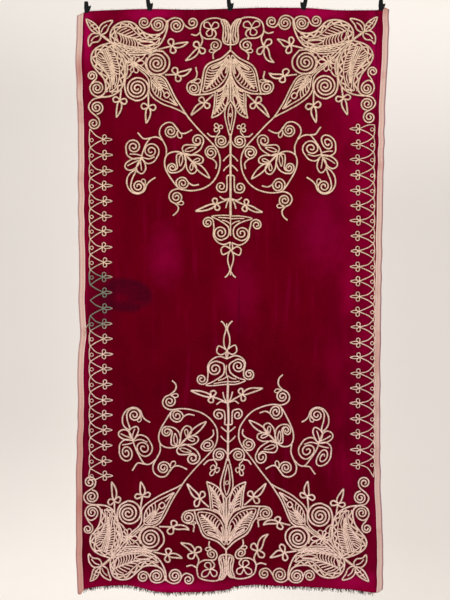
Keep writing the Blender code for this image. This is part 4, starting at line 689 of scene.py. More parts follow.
    def bar_and_scrolls(self) -> None:
        """The stepped bar, its scrolls and the finial."""
        self.line([(0, 214.6), (-10.5, 214.4), (-18.9, 215.6), (-13.1, 218.4), (-7.5, 221.8), (-1.9, 226)], 1.6)
        self.lines(1.3, [(0, 217.4), (-12.1, 216.4)], [(0, 223), (-4.1, 220.4), (-8.5, 219.2)])
        self.line([(0, 215), (0, 235)], 1.5)
        self.swirl([(-8.1, 221), (-2.9, 225.4), (-1.3, 230.4), (-2.9, 236), (-8.6, 239.2)], (-9.7, 231.8), 1.9,
                   CW)
        self.swirl([(0, 241.2), (-6.9, 243.6), (-13.1, 241), (-16.9, 235), (-16.6, 227), (-17.2, 220)],
                   (-22.7, 221.8), 1.8, CCW)
        self.ring([(0, 248.6), (-5.3, 245.2), (-9.3, 248), (-7.9, 253.6), (-2.1, 251.2)], 1.7)
        self.line([(0, 241.2), (-0.9, 245.6), (0, 249.6)], 1.6)
        self.line([(0, 249), (-2.3, 254), (-2.6, 261), (-0.7, 269), (-3.1, 274.2), (-5.7, 276.6)], 1.7)
        self.line([(0, 267), (0, 274.4)], 1.6)


@dataclass
class BorderDrawing(Sketch):
    """One side border: a running line of looped hearts with a leaf at each."""

    side: int = 1
    bulge: float = 0.4
    loop: float = 4.6
    loop_width: float = 3.4
    leaf_width: float = 2.6
    eye: float = 1.7
    running: float = 1.25
    fine: float = 1.15
    worn: Place = (289.0, 317.0)
    loose_end: tuple[Place, ...] = ((-147.2, 337.0), (-145.4, 332.5), (-144.6, 327.0), (-142.0, 323.4))

    def draw(self) -> list[Strand]:
        """Draw every unit of the border and return the strands."""
        stem, heart, tip, first, last, count, start, end = BORDERS[self.side]
        pitch = (last - first) / (count - 1)
        turns = [start]
        turns += [(stem + 0.6 * self.side, first + (i + 0.5) * pitch) for i in range(count - 1)]
        turns.append(end)
        rng = np.random.default_rng(31 + self.side)
        for i in range(count):
            at = first + i * pitch + rng.uniform(-0.5, 0.5)
            shift = rng.uniform(-0.6, 0.6, 2)
            self.unit(turns[i], turns[i + 1], (heart + shift[0], at), tip + shift[1], stem)
        if self.side > 0:
            self.line(self.loose_end, 1.1)
        return self.strands

    def unit(self, head: Place, foot: Place, heart: Place, tip: float, stem: float) -> None:
        """Draw one unit.

        Args:
            head: where the running line enters it.
            foot: where the running line leaves it.
            heart: where its two arms meet.
            tip: how far across its leaf reaches.
            stem: where the running line stands.
        """
        o, at = self.side, heart[1]
        gone = o > 0 and self.worn[0] < at < self.worn[1]
        dip = 0.9 * math.sin(at * 2.3)
        self.lines(self.running, [head, (stem + 6.2 * o, at - 3.1 + dip), heart],
                   [foot, (stem + 6.6 * o, at + 3.6), heart])
        if not gone:
            out = stem - self.bulge * o
            self.line([head, (out, at - 3), (out, at + 3), foot], self.running)
            a = np.linspace(0, TAU, 13)[:-1]
            eye = np.stack([stem + 2.0 * o + self.eye * np.cos(a), at + 0.6 + self.eye * np.sin(a)], 1)
            self.add(eye, True, 1.0)
        for up in (-1, 1):
            self.drop(heart, (heart[0] + 1.6 * o, at + up * self.loop), self.loop_width, self.fine)
        self.leaf(heart, (tip, at), self.leaf_width, width=self.fine)


# The hanging cloth's shape

def eased_table(table: Path, at: np.ndarray) -> np.ndarray:
    """Read a table of places as a smooth line that never overshoots them.

    Args:
        table: places, with their first numbers rising.
        at: the first numbers wanted.

    Returns:
        The second number at each.
    """
    x, y = np.array(table, float).T
    h, slope = np.diff(x), np.diff(y) / np.diff(x)
    one, two = slope[:-1], slope[1:]
    both = np.where(one * two > 0, one + two, 1.0)
    m = np.concatenate([[slope[0]], np.where(one * two > 0, 2 * one * two / both, 0.0), [slope[-1]]])
    i = np.clip(np.searchsorted(x, at) - 1, 0, len(x) - 2)
    t = np.clip((at - x[i]) / h[i], 0, 1)
    return (y[i] * (1 + 2 * t) * (1 - t) ** 2 + y[i + 1] * t * t * (3 - 2 * t)
            + h[i] * (m[i] * t * (1 - t) ** 2 - m[i + 1] * t * t * (1 - t)))


def ease_in(x: np.ndarray) -> np.ndarray:
    """Rise smoothly from 0 to 1 as x does."""
    x = np.clip(x, 0, 1)
    return x * x * (3 - 2 * x)


@dataclass(frozen=True)
class Drape:
    """How far the hanging cloth stands toward the viewer."""

    flute: float = 0.0026
    hem: float = 0.0055
    pucker: float = 0.00075
    crease: float = 0.0007
    unrest: float = 0.00022
    foot: float = 592.0

    def depth(self, a: np.ndarray, v: np.ndarray) -> np.ndarray:
        """Give the cloth's middle, in metres toward the viewer.

        Args:
            a: places across.
            v: depths on the drawing.

        Returns:
            The distance at each place.
        """
        a, v = np.asarray(a, float), np.asarray(v, float)
        grow = ease_in((v - 16) / 70) * (0.6 + 0.4 * v / 600)
        flute = np.sin(TAU * a / 118 + 0.6 + 0.002 * v) + 0.45 * np.sin(TAU * a / 66 + 2.1 - 0.004 * v)
        hem = np.exp(-np.maximum(self.foot - v, 0) / 40) * np.sin(TAU * (a + 14) / 92)
        out = grow * (self.flute * flute + self.hem * hem)
        off = a - CREASE_AT[0] + 0.012 * (v - 300)
        out = out - self.crease * np.exp(-(off / 2.0) ** 2 - ((v - CREASE_AT[1]) / 44) ** 4)
        out = out + self.unrest * (np.sin(a / 4.1 + np.sin(v / 23)) * np.sin(v / 9.7 + 1.3 * np.sin(a / 17)))
        return out + self.puckers(a, v)

    def puckers(self, a: np.ndarray, v: np.ndarray) -> np.ndarray:
        """Give the small folds that run out from each clip."""
        out = np.zeros(np.broadcast(a, v).shape)
        for k, (across, jaw, _, _) in enumerate(CLIPS):
            x, down = a - across, v - jaw + 2
            r, turned = np.hypot(x, down), np.arctan2(x, np.maximum(down, 0.01))
            out += self.pucker * np.cos(6 * turned + k) * ease_in((r - 3) / 9) * np.exp(-r / 15)
        return out

    def face(self, places: np.ndarray, above: float | np.ndarray = 0.0) -> np.ndarray:
        """Give points in metres on the cloth's face.

        Args:
            places: places on the drawing, one a row.
            above: how far the points stand off the face.

        Returns:
            The points, one a row.
        """
        toward = self.depth(places[:, 0], places[:, 1]) + CLOTH_T / 2 + above
        return np.stack([places[:, 0] * GRID, -toward, -places[:, 1] * GRID], 1)


def place_new(name: str, data: bpy.types.ID) -> Thing:
    """Link a new object with this data into the scene, at the origin."""
    thing = bpy.data.objects.new(name, data)
    bpy.context.scene.collection.objects.link(thing)
    return thing


def mesh_object(name: str, points: np.ndarray, faces: list[tuple[int, ...]],
                edges: list[tuple[int, int]] | None = None) -> Thing:
    """Make a mesh object at the origin.

    Args:
        name: the object's name.
        points: its points in metres, one a row.
        faces: its faces, as point numbers.
        edges: its loose edges, as point numbers.

    Returns:
        The object, linked into the scene.
    """
    mesh = bpy.data.meshes.new(name)
    mesh.from_pydata(np.asarray(points, float).tolist(), edges or [], faces)
    return place_new(name, mesh)


def path_object(name: str, points: np.ndarray) -> Thing:
    """Make an object with one open line of edges."""
    return mesh_object(name, points, [], [(i, i + 1) for i in range(len(points) - 1)])


def carry(thing: Thing, name: str, values: np.ndarray | list[float]) -> None:
    """Store a number for each of an object's points under a name."""
    thing.data.attributes.new(name, "FLOAT", "POINT").data.foreach_set("value", values)


def rim_faces(count: int, wide: int) -> list[tuple[int, ...]]:
    """Close the rim between two layers of a grid.

    Args:
        count: points in each layer.
        wide: points in a row.

    Returns:
        The faces, as point numbers.
    """
    rim = [*range(wide), *range(2 * wide - 1, count, wide), *range(count - 2, count - wide - 1, -1),
           *range(count - 2 * wide, 0, -wide)]
    return [(a, b, count + b, count + a) for a, b in zip(rim, rim[1:] + rim[:1])]


def shade_smooth(thing: Thing) -> None:
    """Shade all of an object's faces smooth."""
    thing.data.polygons.foreach_set("use_smooth", [True] * len(thing.data.polygons))


def merge_down(things: list[Thing], name: str) -> Thing:
    """Join mesh objects that share their materials' order into one.

    Args:
        things: the objects, which are used up.
        name: the name of the joined object.

    Returns:
        The joined object.
    """
    work, materials = bmesh.new(), []
    for thing in things:
        slots = []
        for material in thing.data.materials:
            if material not in materials:
                materials.append(material)
            slots.append(materials.index(material))
        before = len(work.faces)
        work.from_mesh(thing.data)
        work.faces.ensure_lookup_table()
        for face in work.faces[before:]:
            face.material_index = slots[min(face.material_index, len(slots) - 1)] if slots else 0
        bpy.data.objects.remove(thing)
    mesh = bpy.data.meshes.new(name)
    work.to_mesh(mesh)
    work.free()
    for material in materials:
        mesh.materials.append(material)
    return place_new(name, mesh)


# Node trees

Value = float | tuple[float, ...] | Socket


class Trees:
    """Short calls that build a node tree."""

    def __init__(self, tree: bpy.types.NodeTree) -> None:
        """Work on a node tree."""
        self.tree = tree

    def node(self, kind: str, inputs: dict[str | int, Value] | None = None, **settings: object) -> bpy.types.Node:
        """Add a node.

        Args:
            kind: the node's type.
            inputs: what each input takes, a value or another node's output.
            **settings: the node's own settings.

        Returns:
            The node.
        """
        made = self.tree.nodes.new(kind)
        for key, value in settings.items():
            setattr(made, key, value)
        for key, value in (inputs or {}).items():
            self.put(made.inputs[key], value)
        return made

    def put(self, socket: Socket, value: Value) -> None:
        """Give an input a value or a link."""
        if isinstance(value, Socket):
            self.tree.links.new(value, socket)
        else:
            socket.default_value = value

    def math(self, operation: str, a: Value, b: Value = 0.0) -> Socket:
        """Add a Math node and return its result."""
        return self.node("ShaderNodeMath", {0: a, 1: b}, operation=operation).outputs[0]

    def scaled(self, vector: Value, factor: Value) -> Socket:
        """Scale a vector."""
        made = self.node("ShaderNodeVectorMath", {0: vector}, operation="SCALE")
        self.put(made.inputs["Scale"], factor)
        return made.outputs[0]


class Shading(Trees):
    """A material's node tree, with the calls that the finishes share.

    Its `vector` gives object coordinates in drawing units, `across` the place across and `down` the depth.
    """

    def __init__(self, name: str) -> None:
        """Start a material on the standard surface shader."""
        self.material = bpy.data.materials.new(name)
        self.material.use_nodes = True
        super().__init__(self.material.node_tree)
        self.surface = self.tree.nodes["Principled BSDF"]
        source = self.node("ShaderNodeTexCoord").outputs["Object"]
        self.vector = self.node("ShaderNodeMapping", {
            "Vector": source, "Scale": (1 / GRID, 1 / GRID, -1 / GRID)}).outputs[0]
        self.across, _, self.down = self.node("ShaderNodeSeparateXYZ", {0: self.vector}).outputs

    def set(self, **values: Value) -> None:
        """Set the surface shader's inputs, with _ for each blank in their names."""
        for key, value in values.items():
            self.put(self.surface.inputs[key.replace("_", " ")], value)

    def stretched(self, scale: Point) -> Socket:
        """Give the drawing units stretched along each axis."""
        return self.node("ShaderNodeMapping", {"Vector": self.vector, "Scale": scale}).outputs[0]

    def noise(self, vector: Value, scale: float, detail: float = 2.0, rough: float = 0.5) -> Socket:
        """Add soft noise and return its level."""
        return self.node("ShaderNodeTexNoise", {"Vector": vector, "Scale": scale, "Detail": detail,
                                                "Roughness": rough}).outputs["Fac"]

    def spread(self, level: Value, low: float, high: float, out_low: float = 0.0,
               out_high: float = 1.0) -> Socket:
        """Map a level smoothly from one range to another, held at its ends."""
        return self.node("ShaderNodeMapRange", {"Value": level, "From Min": low, "From Max": high,
                                                "To Min": out_low, "To Max": out_high},
                         interpolation_type="SMOOTHSTEP").outputs[0]

    def blend(self, share: Value, one: Value, two: Value) -> Socket:
        """Mix two colours."""
        made = self.node("ShaderNodeMix", data_type="RGBA")
        self.put(made.inputs[0], share)
        for socket, value in ((made.inputs[6], one), (made.inputs[7], two)):
            self.put(socket, (*value, 1.0) if isinstance(value, tuple) and len(value) == 3 else value)
        return made.outputs[2]

    def distance(self, at: Place, size: Place, ragged: float = 0.0) -> Socket:
        """Measure how far out of an oval a place lies, with 1 on its edge."""
        x = self.math("DIVIDE", self.math("SUBTRACT", self.across, at[0]), size[0])
        y = self.math("DIVIDE", self.math("SUBTRACT", self.down, at[1]), size[1])
        r = self.math("SQRT", self.math("ADD", self.math("MULTIPLY", x, x), self.math("MULTIPLY", y, y)))
        if not ragged:
            return r
        level = self.noise(self.vector, 0.07, 4.0, 0.6)
        return self.math("ADD", r, self.math("MULTIPLY", self.math("SUBTRACT", level, 0.5), ragged))

    def patch(self, at: Place, size: Place, soft: float = 1.0, ragged: float = 0.0) -> Socket:
        """Mask an oval: 1 in the middle, falling to 0 at its edge."""
        return self.spread(self.distance(at, size, ragged), 1 - soft, 1.0, 1.0, 0.0)

    def carried(self, name: str) -> Socket:
        """Read a number that the mesh carries."""
        return self.node("ShaderNodeAttribute", attribute_name=name).outputs["Fac"]

    def woven(self, scale: float, uneven: float, axis: str) -> Socket:
        """Add evenly spaced threads that follow one another along an axis."""
        return self.node("ShaderNodeTexWave", {"Vector": self.vector, "Scale": scale, "Distortion": uneven},
                         wave_type="BANDS", bands_direction=axis).outputs["Fac"]

    def bump(self, height: Value, strength: float, distance: float) -> None:
        """Raise the surface by a height."""
        made = self.node("ShaderNodeBump", {"Height": height, "Strength": strength, "Distance": distance})
        self.set(Normal=made.outputs[0])


# Finishes

@dataclass(frozen=True)
class VelvetFinish:
    """Crimson silk velvet: a dark middle, painted sheen at the edges and in patches, its ring stain, and painted
    shade in its crease and round the braid.
    """

    deep: Colour = (0.082, 0.0, 0.0034)
    # Painted sheen: the brighter magenta pile at the sides, the top and the foot.
    edge: Colour = (0.184, 0.0, 0.0235)
    # Painted sheen: the bright magenta where the pile catches the light.
    glow: Colour = (0.46, 0.002, 0.092)
    # Darker pile, for the painted shade round the braid and the darkening towards the bottom.
    dusk: Colour = (0.024, 0.0, 0.0010)
    # The ring stain's colour, which also paints the shade in the crease and beside the woven edges.
    stain: Colour = (0.022, 0.001, 0.005)
    # Painted sheen patches: the middle, size and strength of each.
    sheen_patches: tuple[tuple[Place, Place, float], ...] = (
        ((-65.5, 255), (26, 46), 0.16), ((9.5, 290), (30, 60), 0.10), ((89.5, 230), (34, 60), 0.15),
        ((122, 66), (46, 66), 0.21), ((-80, 14), (40, 13), 0.30), ((84, 13), (46, 13), 0.34),
        ((-143, 34), (8, 44), 0.42), ((142.5, 55), (9, 80), 0.34), ((-60, 586), (60, 9), 0.30),
        ((120, 578), (40, 14), 0.22), ((-145, 330), (4, 260), 0.10))

    def make(self) -> Material:
        """Build the material and return it."""
        s = Shading("crimson velvet pile")
        # Painted sheen: the pile turns brighter and more magenta toward the sides and the top.
        side = s.math("MAXIMUM", s.spread(s.across, 70.0, 150.0, 0.0, 0.7),
                      s.spread(s.across, -105.0, -150.0, 0.0, 0.3))
        rim = s.math("MAXIMUM", side, s.spread(s.down, 190.0, 10.0, 0.0, 0.42))
        cloudy = s.noise(s.stretched((0.9, 1.0, 0.5)), 0.04, 4.0, 0.55)
        rim = s.math("MULTIPLY", rim, s.spread(cloudy, 0.25, 0.7, 0.45, 1.2))
        colour = s.blend(rim, self.deep, self.edge)
        low = s.math("ADD", s.spread(s.down, 270.0, 430.0, 0.0, 0.33), s.spread(cloudy, 0.62, 0.34, 0.0, 0.26))
        colour = s.blend(low, colour, self.dusk)
        # Painted sheen along the foot of the cloth.
        colour = s.blend(s.spread(s.down, 558.0, 592.0, 0.0, 0.62), colour, self.edge)
        colour = s.blend(self.sheen_mask(s), colour, self.glow)
        # The ring stain, with painted shade in the crease and beside each woven edge.
        colour = s.blend(self.shade(s), colour, self.stain)
        # Painted shade: the pile darkens where braid crowds round it.
        colour = s.blend(s.spread(s.carried("crowd"), 0.06, 0.62, 0.0, 0.66), colour, self.dusk)
        fine = s.noise(s.vector, 1.6, 3.0, 0.6)
        colour = s.blend(s.spread(fine, 0.4, 0.75, 0.0, 0.30), colour, self.edge)
        pile = s.noise(s.stretched((1.0, 1.0, 0.5)), 7.0, 2.0, 0.7)
        s.set(Base_Color=colour, Roughness=0.85, Sheen_Weight=0.09, Sheen_Roughness=0.4,
              Specular_IOR_Level=0.0, Sheen_Tint=(1.0, 0.0, 0.16, 1.0))
        s.bump(s.math("ADD", pile, s.math("MULTIPLY", fine, 2.0)), 0.35, 0.0006)
        return s.material

    def sheen_mask(self, s: Shading) -> Socket:
        """Mask the places where the pile catches the light."""
        streaks = s.noise(s.stretched((1.0, 1.0, 0.12)), 0.10, 3.0, 0.5)
        # Painted sheen: soft upright streaks and oval patches where the pile catches the light.
        worn = s.spread(streaks, 0.52, 0.82, 0.0, 0.10)
        for at, size, weight in self.sheen_patches:
            worn = s.math("MAXIMUM", worn, s.math("MULTIPLY", s.patch(at, size, 1.0, 0.8), weight))
        return worn

    def shade(self, s: Shading) -> Socket:
        """Mask the dark ring stain, the painted shade in the crease and the painted shade along the line beside
        each woven edge.
        """
        out = s.distance(STAIN_AT, (29.0, 18.0), 0.3)
        ring = s.math("MULTIPLY", s.spread(out, 1.12, 0.74), s.spread(out, 0.3, 0.85, 0.8, 1.0))
        pale = s.math("MAXIMUM", s.patch((-110.0, 297.0), (13.0, 6.5), 0.9, 0.4),
                      s.math("MULTIPLY", s.patch((-91.0, 302.0), (12.0, 4.0), 0.9, 0.9), 0.8))
        stain = s.math("SUBTRACT", s.math("MULTIPLY", ring, 0.80), s.math("MULTIPLY", pale, 0.42))
        wash = s.math("MULTIPLY", s.patch((-130.0, 303.0), (30.0, 42.0), 1.0, 0.6), 0.42)
        stain = s.math("MAXIMUM", stain, wash)
        # Painted shade in the crease.
        fold = s.math("MULTIPLY", s.patch(CREASE_AT, (1.6, 52.0), 0.9), 0.4)
        # Painted shade along the line beside each woven edge.
        line = s.math("SUBTRACT", s.math("ABSOLUTE", s.math("ADD", s.across, 0.7)), 146.4)
        hem = s.math("MULTIPLY", s.spread(s.math("ABSOLUTE", line), 1.6, 0.2), 0.5)
        return s.math("MAXIMUM", s.math("MAXIMUM", stain, fold), hem)


@dataclass(frozen=True)
class SelvedgeFinish:
    """Woven edge of pink and cream bands with thin purple lines."""

    cream: Colour = (0.67, 0.50, 0.435)
    pink: Colour = (0.52, 0.34, 0.28)
    purple: Colour = (0.20, 0.075, 0.11)
    worn: Colour = (0.38, 0.135, 0.105)
    grey: Colour = (0.36, 0.25, 0.22)

    def make(self) -> Material:
        """Build the material and return it."""
        s = Shading("woven selvedge")
        band = s.carried("band")
        uneven = s.noise(s.stretched((1.0, 1.0, 0.2)), 0.25, 3.0)
        shifted = s.math("ADD", band, s.math("MULTIPLY", s.math("SUBTRACT", uneven, 0.5), 0.16))
        inner, outer = (s.math("ABSOLUTE", s.math("SUBTRACT", shifted, at)) for at in (0.42, 0.97))
        light = s.math("MAXIMUM", s.spread(inner, 0.0, 0.15, 0.5, 0.0), s.spread(outer, 0.0, 0.2, 1.0, 0.0))
        colour = s.blend(light, self.pink, self.cream)
        warm = s.spread(s.noise(s.stretched((0.3, 1.0, 1.0)), 0.035, 3.0), 0.5, 0.72, 0.0, 0.55)
        for at in (70.0, 505.0):
            warm = s.math("MAXIMUM", warm, s.math("MULTIPLY", s.patch((-151.0, at), (8.0, 24.0), 1.0, 0.4), 0.8))
        colour = s.blend(warm, colour, self.worn)
        dusk = s.math("MULTIPLY", s.spread(s.down, 340.0, 460.0, 0.0, 0.62), s.spread(s.across, 0.0, -100.0))
        colour = s.blend(dusk, colour, self.worn)
        dusk = s.math("MULTIPLY", s.spread(s.down, 170.0, 480.0, 0.0, 0.36), s.spread(s.across, 0.0, 100.0))
        colour = s.blend(dusk, colour, self.grey)
        line = s.math("MULTIPLY", s.spread(band, 0.26, 0.12), s.spread(s.across, -50.0, 50.0, 0.45, 0.8))
        colour = s.blend(line, colour, self.purple)
        rows, cords = s.woven(1.9, 0.6, "Z"), s.woven(1.3, 0.3, "X")
        colour = s.blend(s.math("MULTIPLY", rows, 0.16), colour, self.purple)
        s.set(Base_Color=colour, Roughness=0.78, Specular_IOR_Level=0.25)
        s.bump(s.math("ADD", rows, cords), 0.5, 0.0005)
        return s.material


@dataclass(frozen=True)
class ReverseFinish:
    """Plain woven back of the velvet."""

    warp: Colour = (0.34, 0.052, 0.072)
    weft: Colour = (0.22, 0.020, 0.036)
    dark: Colour = (0.14, 0.012, 0.022)

    def make(self) -> Material:
        """Build the material and return it."""
        s = Shading("velvet reverse")
        cross = s.math("MULTIPLY", s.woven(2.1, 0.8, "Z"), s.woven(2.1, 0.8, "X"))
        uneven = s.noise(s.stretched((1.0, 1.0, 0.3)), 0.06, 4.0)
        colour = s.blend(cross, self.weft, self.warp)
        colour = s.blend(s.spread(uneven, 0.4, 0.7, 0.0, 0.4), colour, self.dark)
        s.set(Base_Color=colour, Roughness=0.86, Specular_IOR_Level=0.2)
        s.bump(cross, 0.5, 0.0005)
        return s.material


@dataclass(frozen=True)
class BraidFinish:
    """Pale champagne plaited thread, tarnished in its grooves, with painted shade on each strand's flanks, and
    grey-green by the stain.
    """

    pale: Colour = (0.83, 0.60, 0.44)
    rosy: Colour = (0.80, 0.57, 0.51)
    warm: Colour = (0.44, 0.30, 0.20)
    # Tarnish in the grooves, also used as painted shade on the strands' flanks.
    tarnish_and_shade: Colour = (0.115, 0.052, 0.038)
    verdigris: Colour = (0.095, 0.115, 0.085)

    def make(self) -> Material:
        """Build the material and return it."""
        s = Shading("champagne plaited braid")
        along, over, tone = (s.carried(name) for name in ("along", "over", "tone"))
        uneven = s.noise(s.vector, 0.5, 4.0, 0.6)
        mixed = s.math("ADD", s.math("MULTIPLY", tone, 0.3), s.spread(uneven, 0.36, 0.72, 0.0, 0.7))
        colour = s.blend(s.spread(s.down, 230.0, 420.0), self.pale, self.rosy)
        colour = s.blend(mixed, colour, self.warm)
        flecks = s.noise(s.vector, 1.3, 3.0, 0.65)
        colour = s.blend(s.spread(flecks, 0.47, 0.70, 0.0, 0.8), colour, self.tarnish_and_shade)
        slant = s.math("ADD", s.math("MULTIPLY", along, TAU / 0.0016), s.math("MULTIPLY", over, 2.6))
        threads = s.math("ADD", s.math("MULTIPLY", s.math("SINE", slant), 0.5), 0.5)
        colour = s.blend(s.spread(threads, 0.45, 0.0, 0.0, 0.42), colour, self.tarnish_and_shade)
        # Painted shade: each strand darkens toward its flanks.
        side = s.spread(s.math("ABSOLUTE", over), 0.46, 1.0, 0.0, 0.92)
        colour = s.blend(side, colour, self.tarnish_and_shade)
        green = s.patch((-133.0, 299.0), (22.0, 42.0), 0.45, 0.35)
        colour = s.blend(s.math("MULTIPLY", green, 0.92), colour, self.verdigris)
        s.set(Base_Color=colour, Roughness=s.spread(uneven, 0.3, 0.7, 0.42, 0.6), Metallic=0.18,
              Specular_IOR_Level=0.45)
        s.bump(threads, 0.55, 0.0004)
        return s.material


@dataclass(frozen=True)
class ThreadFinish:
    """Ravelled warp ends in black, grey and white."""

    dark: Colour = (0.010, 0.007, 0.008)
    grey: Colour = (0.17, 0.15, 0.15)
    light: Colour = (0.66, 0.61, 0.57)

    def make(self) -> Material:
        """Build the material and return it."""
        s = Shading("ravelled threads")
        tone = s.carried("tone")
        colour = s.blend(s.spread(tone, 0.50, 0.62), self.dark, self.grey)
        colour = s.blend(s.spread(tone, 0.64, 0.78), colour, self.light)
        fuzz = s.noise(s.vector, 9.0, 2.0)
        colour = s.blend(s.spread(fuzz, 0.4, 0.8, 0.0, 0.35), colour, self.grey)
        s.set(Base_Color=colour, Roughness=0.9, Specular_IOR_Level=0.2)
        s.bump(fuzz, 0.3, 0.0002)
        return s.material


@dataclass(frozen=True)
class PlasticFinish:
    """Black moulded plastic, rubbed a little in scattered patches."""

    body: Colour = (0.0025, 0.0030, 0.0035)
    rubbed: Colour = (0.014, 0.015, 0.016)

    def make(self) -> Material:
        """Build the material and return it."""
        s = Shading("black moulded plastic")
        grain = s.noise(s.vector, 6.0, 3.0)
        scuffs = s.noise(s.stretched((1.0, 1.0, 0.25)), 1.4, 4.0, 0.65)
        colour = s.blend(s.spread(scuffs, 0.55, 0.75, 0.0, 0.7), self.body, self.rubbed)
        s.set(Base_Color=colour, Roughness=s.spread(scuffs, 0.3, 0.7, 0.4, 0.62), Specular_IOR_Level=0.07)
        s.bump(grain, 0.2, 0.0002)
        return s.material


@dataclass(frozen=True)
class SteelFinish:
    """Dark spring steel."""

    body: Colour = (0.022, 0.023, 0.025)
    dull: Colour = (0.009, 0.008, 0.008)

    def make(self) -> Material:
        """Build the material and return it."""
        s = Shading("dark spring steel")
        worn = s.noise(s.vector, 1.8, 4.0, 0.6)
        s.set(Base_Color=s.blend(s.spread(worn, 0.4, 0.7), self.body, self.dull), Metallic=1.0,
              Roughness=s.spread(worn, 0.3, 0.7, 0.28, 0.5))
        s.bump(worn, 0.15, 0.0002)
        return s.material


# Geometry Nodes growths

class Growth(Trees):
    """A Geometry Nodes tree with named inputs, grown once on an object."""

    def __init__(self, name: str, sizes: dict[str, float]) -> None:
        """Start the tree.

        Args:
            name: the tree's name.
            sizes: its named sizes and their usual values.
        """
        tree = bpy.data.node_groups.new(name, "GeometryNodeTree")
        face = tree.interface
        face.new_socket(name="Geometry", in_out="INPUT", socket_type="NodeSocketGeometry")
        for key, value in sizes.items():
            face.new_socket(name=key, in_out="INPUT", socket_type="NodeSocketFloat").default_value = value
        face.new_socket(name="Material", in_out="INPUT", socket_type="NodeSocketMaterial")
        face.new_socket(name="Geometry", in_out="OUTPUT", socket_type="NodeSocketGeometry")
        super().__init__(tree)
        self.into = tree.nodes.new("NodeGroupInput").outputs

    def named(self, name: str) -> Socket:
        """Read a number that the mesh carries."""
        return self.node("GeometryNodeInputNamedAttribute", {"Name": name}, data_type="FLOAT").outputs[0]

    def keep(self, geometry: Value, name: str, value: Value, domain: str = "POINT") -> Socket:
        """Store a number on the geometry under a name."""
        made = self.node("GeometryNodeStoreNamedAttribute", {"Geometry": geometry, "Name": name},
                         data_type="FLOAT", domain=domain)
        self.put(next(i for i in made.inputs if i.name == "Value" and i.enabled), value)
        return made.outputs[0]

    def random(self, kind: str, low: Value, high: Value, seed: Value) -> Socket:
        """Give each point or instance a number or vector of its own."""
        made = self.node("FunctionNodeRandomValue", data_type=kind)
        for name, value in (("Min", low), ("Max", high), ("Seed", seed)):
            self.put(next(i for i in made.inputs if i.name == name and i.enabled), value)
        return next(o for o in made.outputs if o.enabled)

    def tube(self, paths: Value, ring: Value, radius: Value) -> Socket:
        """Sweep a closed profile along each path, scaled to a radius at each point."""
        return self.node("GeometryNodeCurveToMesh", {"Curve": paths, "Profile Curve": ring, "Fill Caps": True,
                                                     "Scale": radius}).outputs[0]

    def seed_paths(self, even: bool = True) -> Socket:
        """Turn the seedling's edges into paths, evenly stepped if wanted."""
        paths = self.node("GeometryNodeMeshToCurve", {"Mesh": self.into["Geometry"]}).outputs[0]
        if not even:
            return paths
        return self.node("GeometryNodeResampleCurve", {"Curve": paths, "Length": self.into["Step"]},
                         mode="LENGTH").outputs[0]

    def ring(self, sides: int) -> Socket:
        """Add a round profile of radius 1."""
        return self.node("GeometryNodeCurvePrimitiveCircle", {"Resolution": sides, "Radius": 1.0}).outputs[0]

    def moved(self, geometry: Value, **inputs: Value) -> Socket:
        """Set or offset the points' places."""
        return self.node("GeometryNodeSetPosition", {"Geometry": geometry, **inputs}).outputs[0]

    def captured(self, geometry: Value, value: Value) -> tuple[Socket, Socket]:
        """Capture a number on the points and return the geometry and the number."""
        made = self.node("GeometryNodeCaptureAttribute", domain="POINT")
        made.capture_items.new("FLOAT", "Value")
        self.put(made.inputs[0], geometry)
        self.put(made.inputs[1], value)
        return made.outputs[0], made.outputs[1]

    def close(self, geometry: Value) -> None:
        """End the tree: realise, shade smooth and take the material."""
        real = self.node("GeometryNodeRealizeInstances", {0: geometry}).outputs[0]
        soft = self.node("GeometryNodeSetShadeSmooth", {0: real}).outputs[0]
        done = self.node("GeometryNodeSetMaterial", {"Geometry": soft, "Material": self.into["Material"]})
        self.tree.links.new(done.outputs[0], self.tree.nodes.new("NodeGroupOutput").inputs[0])

    def grow(self, seedling: Thing, name: str, material: Material, **sizes: float) -> Thing:
        """Grow the tree on an object, which it uses up.

        Args:
            seedling: the object with the paths or places.
            name: the name of what grows.
            material: its material.
            **sizes: sizes that differ from the tree's own, with _ for each blank.

        Returns:
            A plain mesh object at the origin.
        """
        modifier = seedling.modifiers.new("growth", "NODES")
        modifier.node_group = self.tree
        wanted = {key.replace("_", " "): value for key, value in sizes.items()}
        for item in self.tree.interface.items_tree:
            if item.in_out == "INPUT" and item.name in wanted:
                modifier[item.identifier] = wanted[item.name]
            elif item.in_out == "INPUT" and item.name == "Material":
                modifier[item.identifier] = material
        seen = seedling.evaluated_get(bpy.context.evaluated_depsgraph_get())
        mesh = bpy.data.meshes.new_from_object(seen, preserve_all_data_layers=True,
                                               depsgraph=bpy.context.evaluated_depsgraph_get())
        mesh.name = name
        old = seedling.data
        bpy.data.objects.remove(seedling)
        bpy.data.meshes.remove(old)
        if not mesh.materials:
            mesh.materials.append(material)
        return place_new(name, mesh)


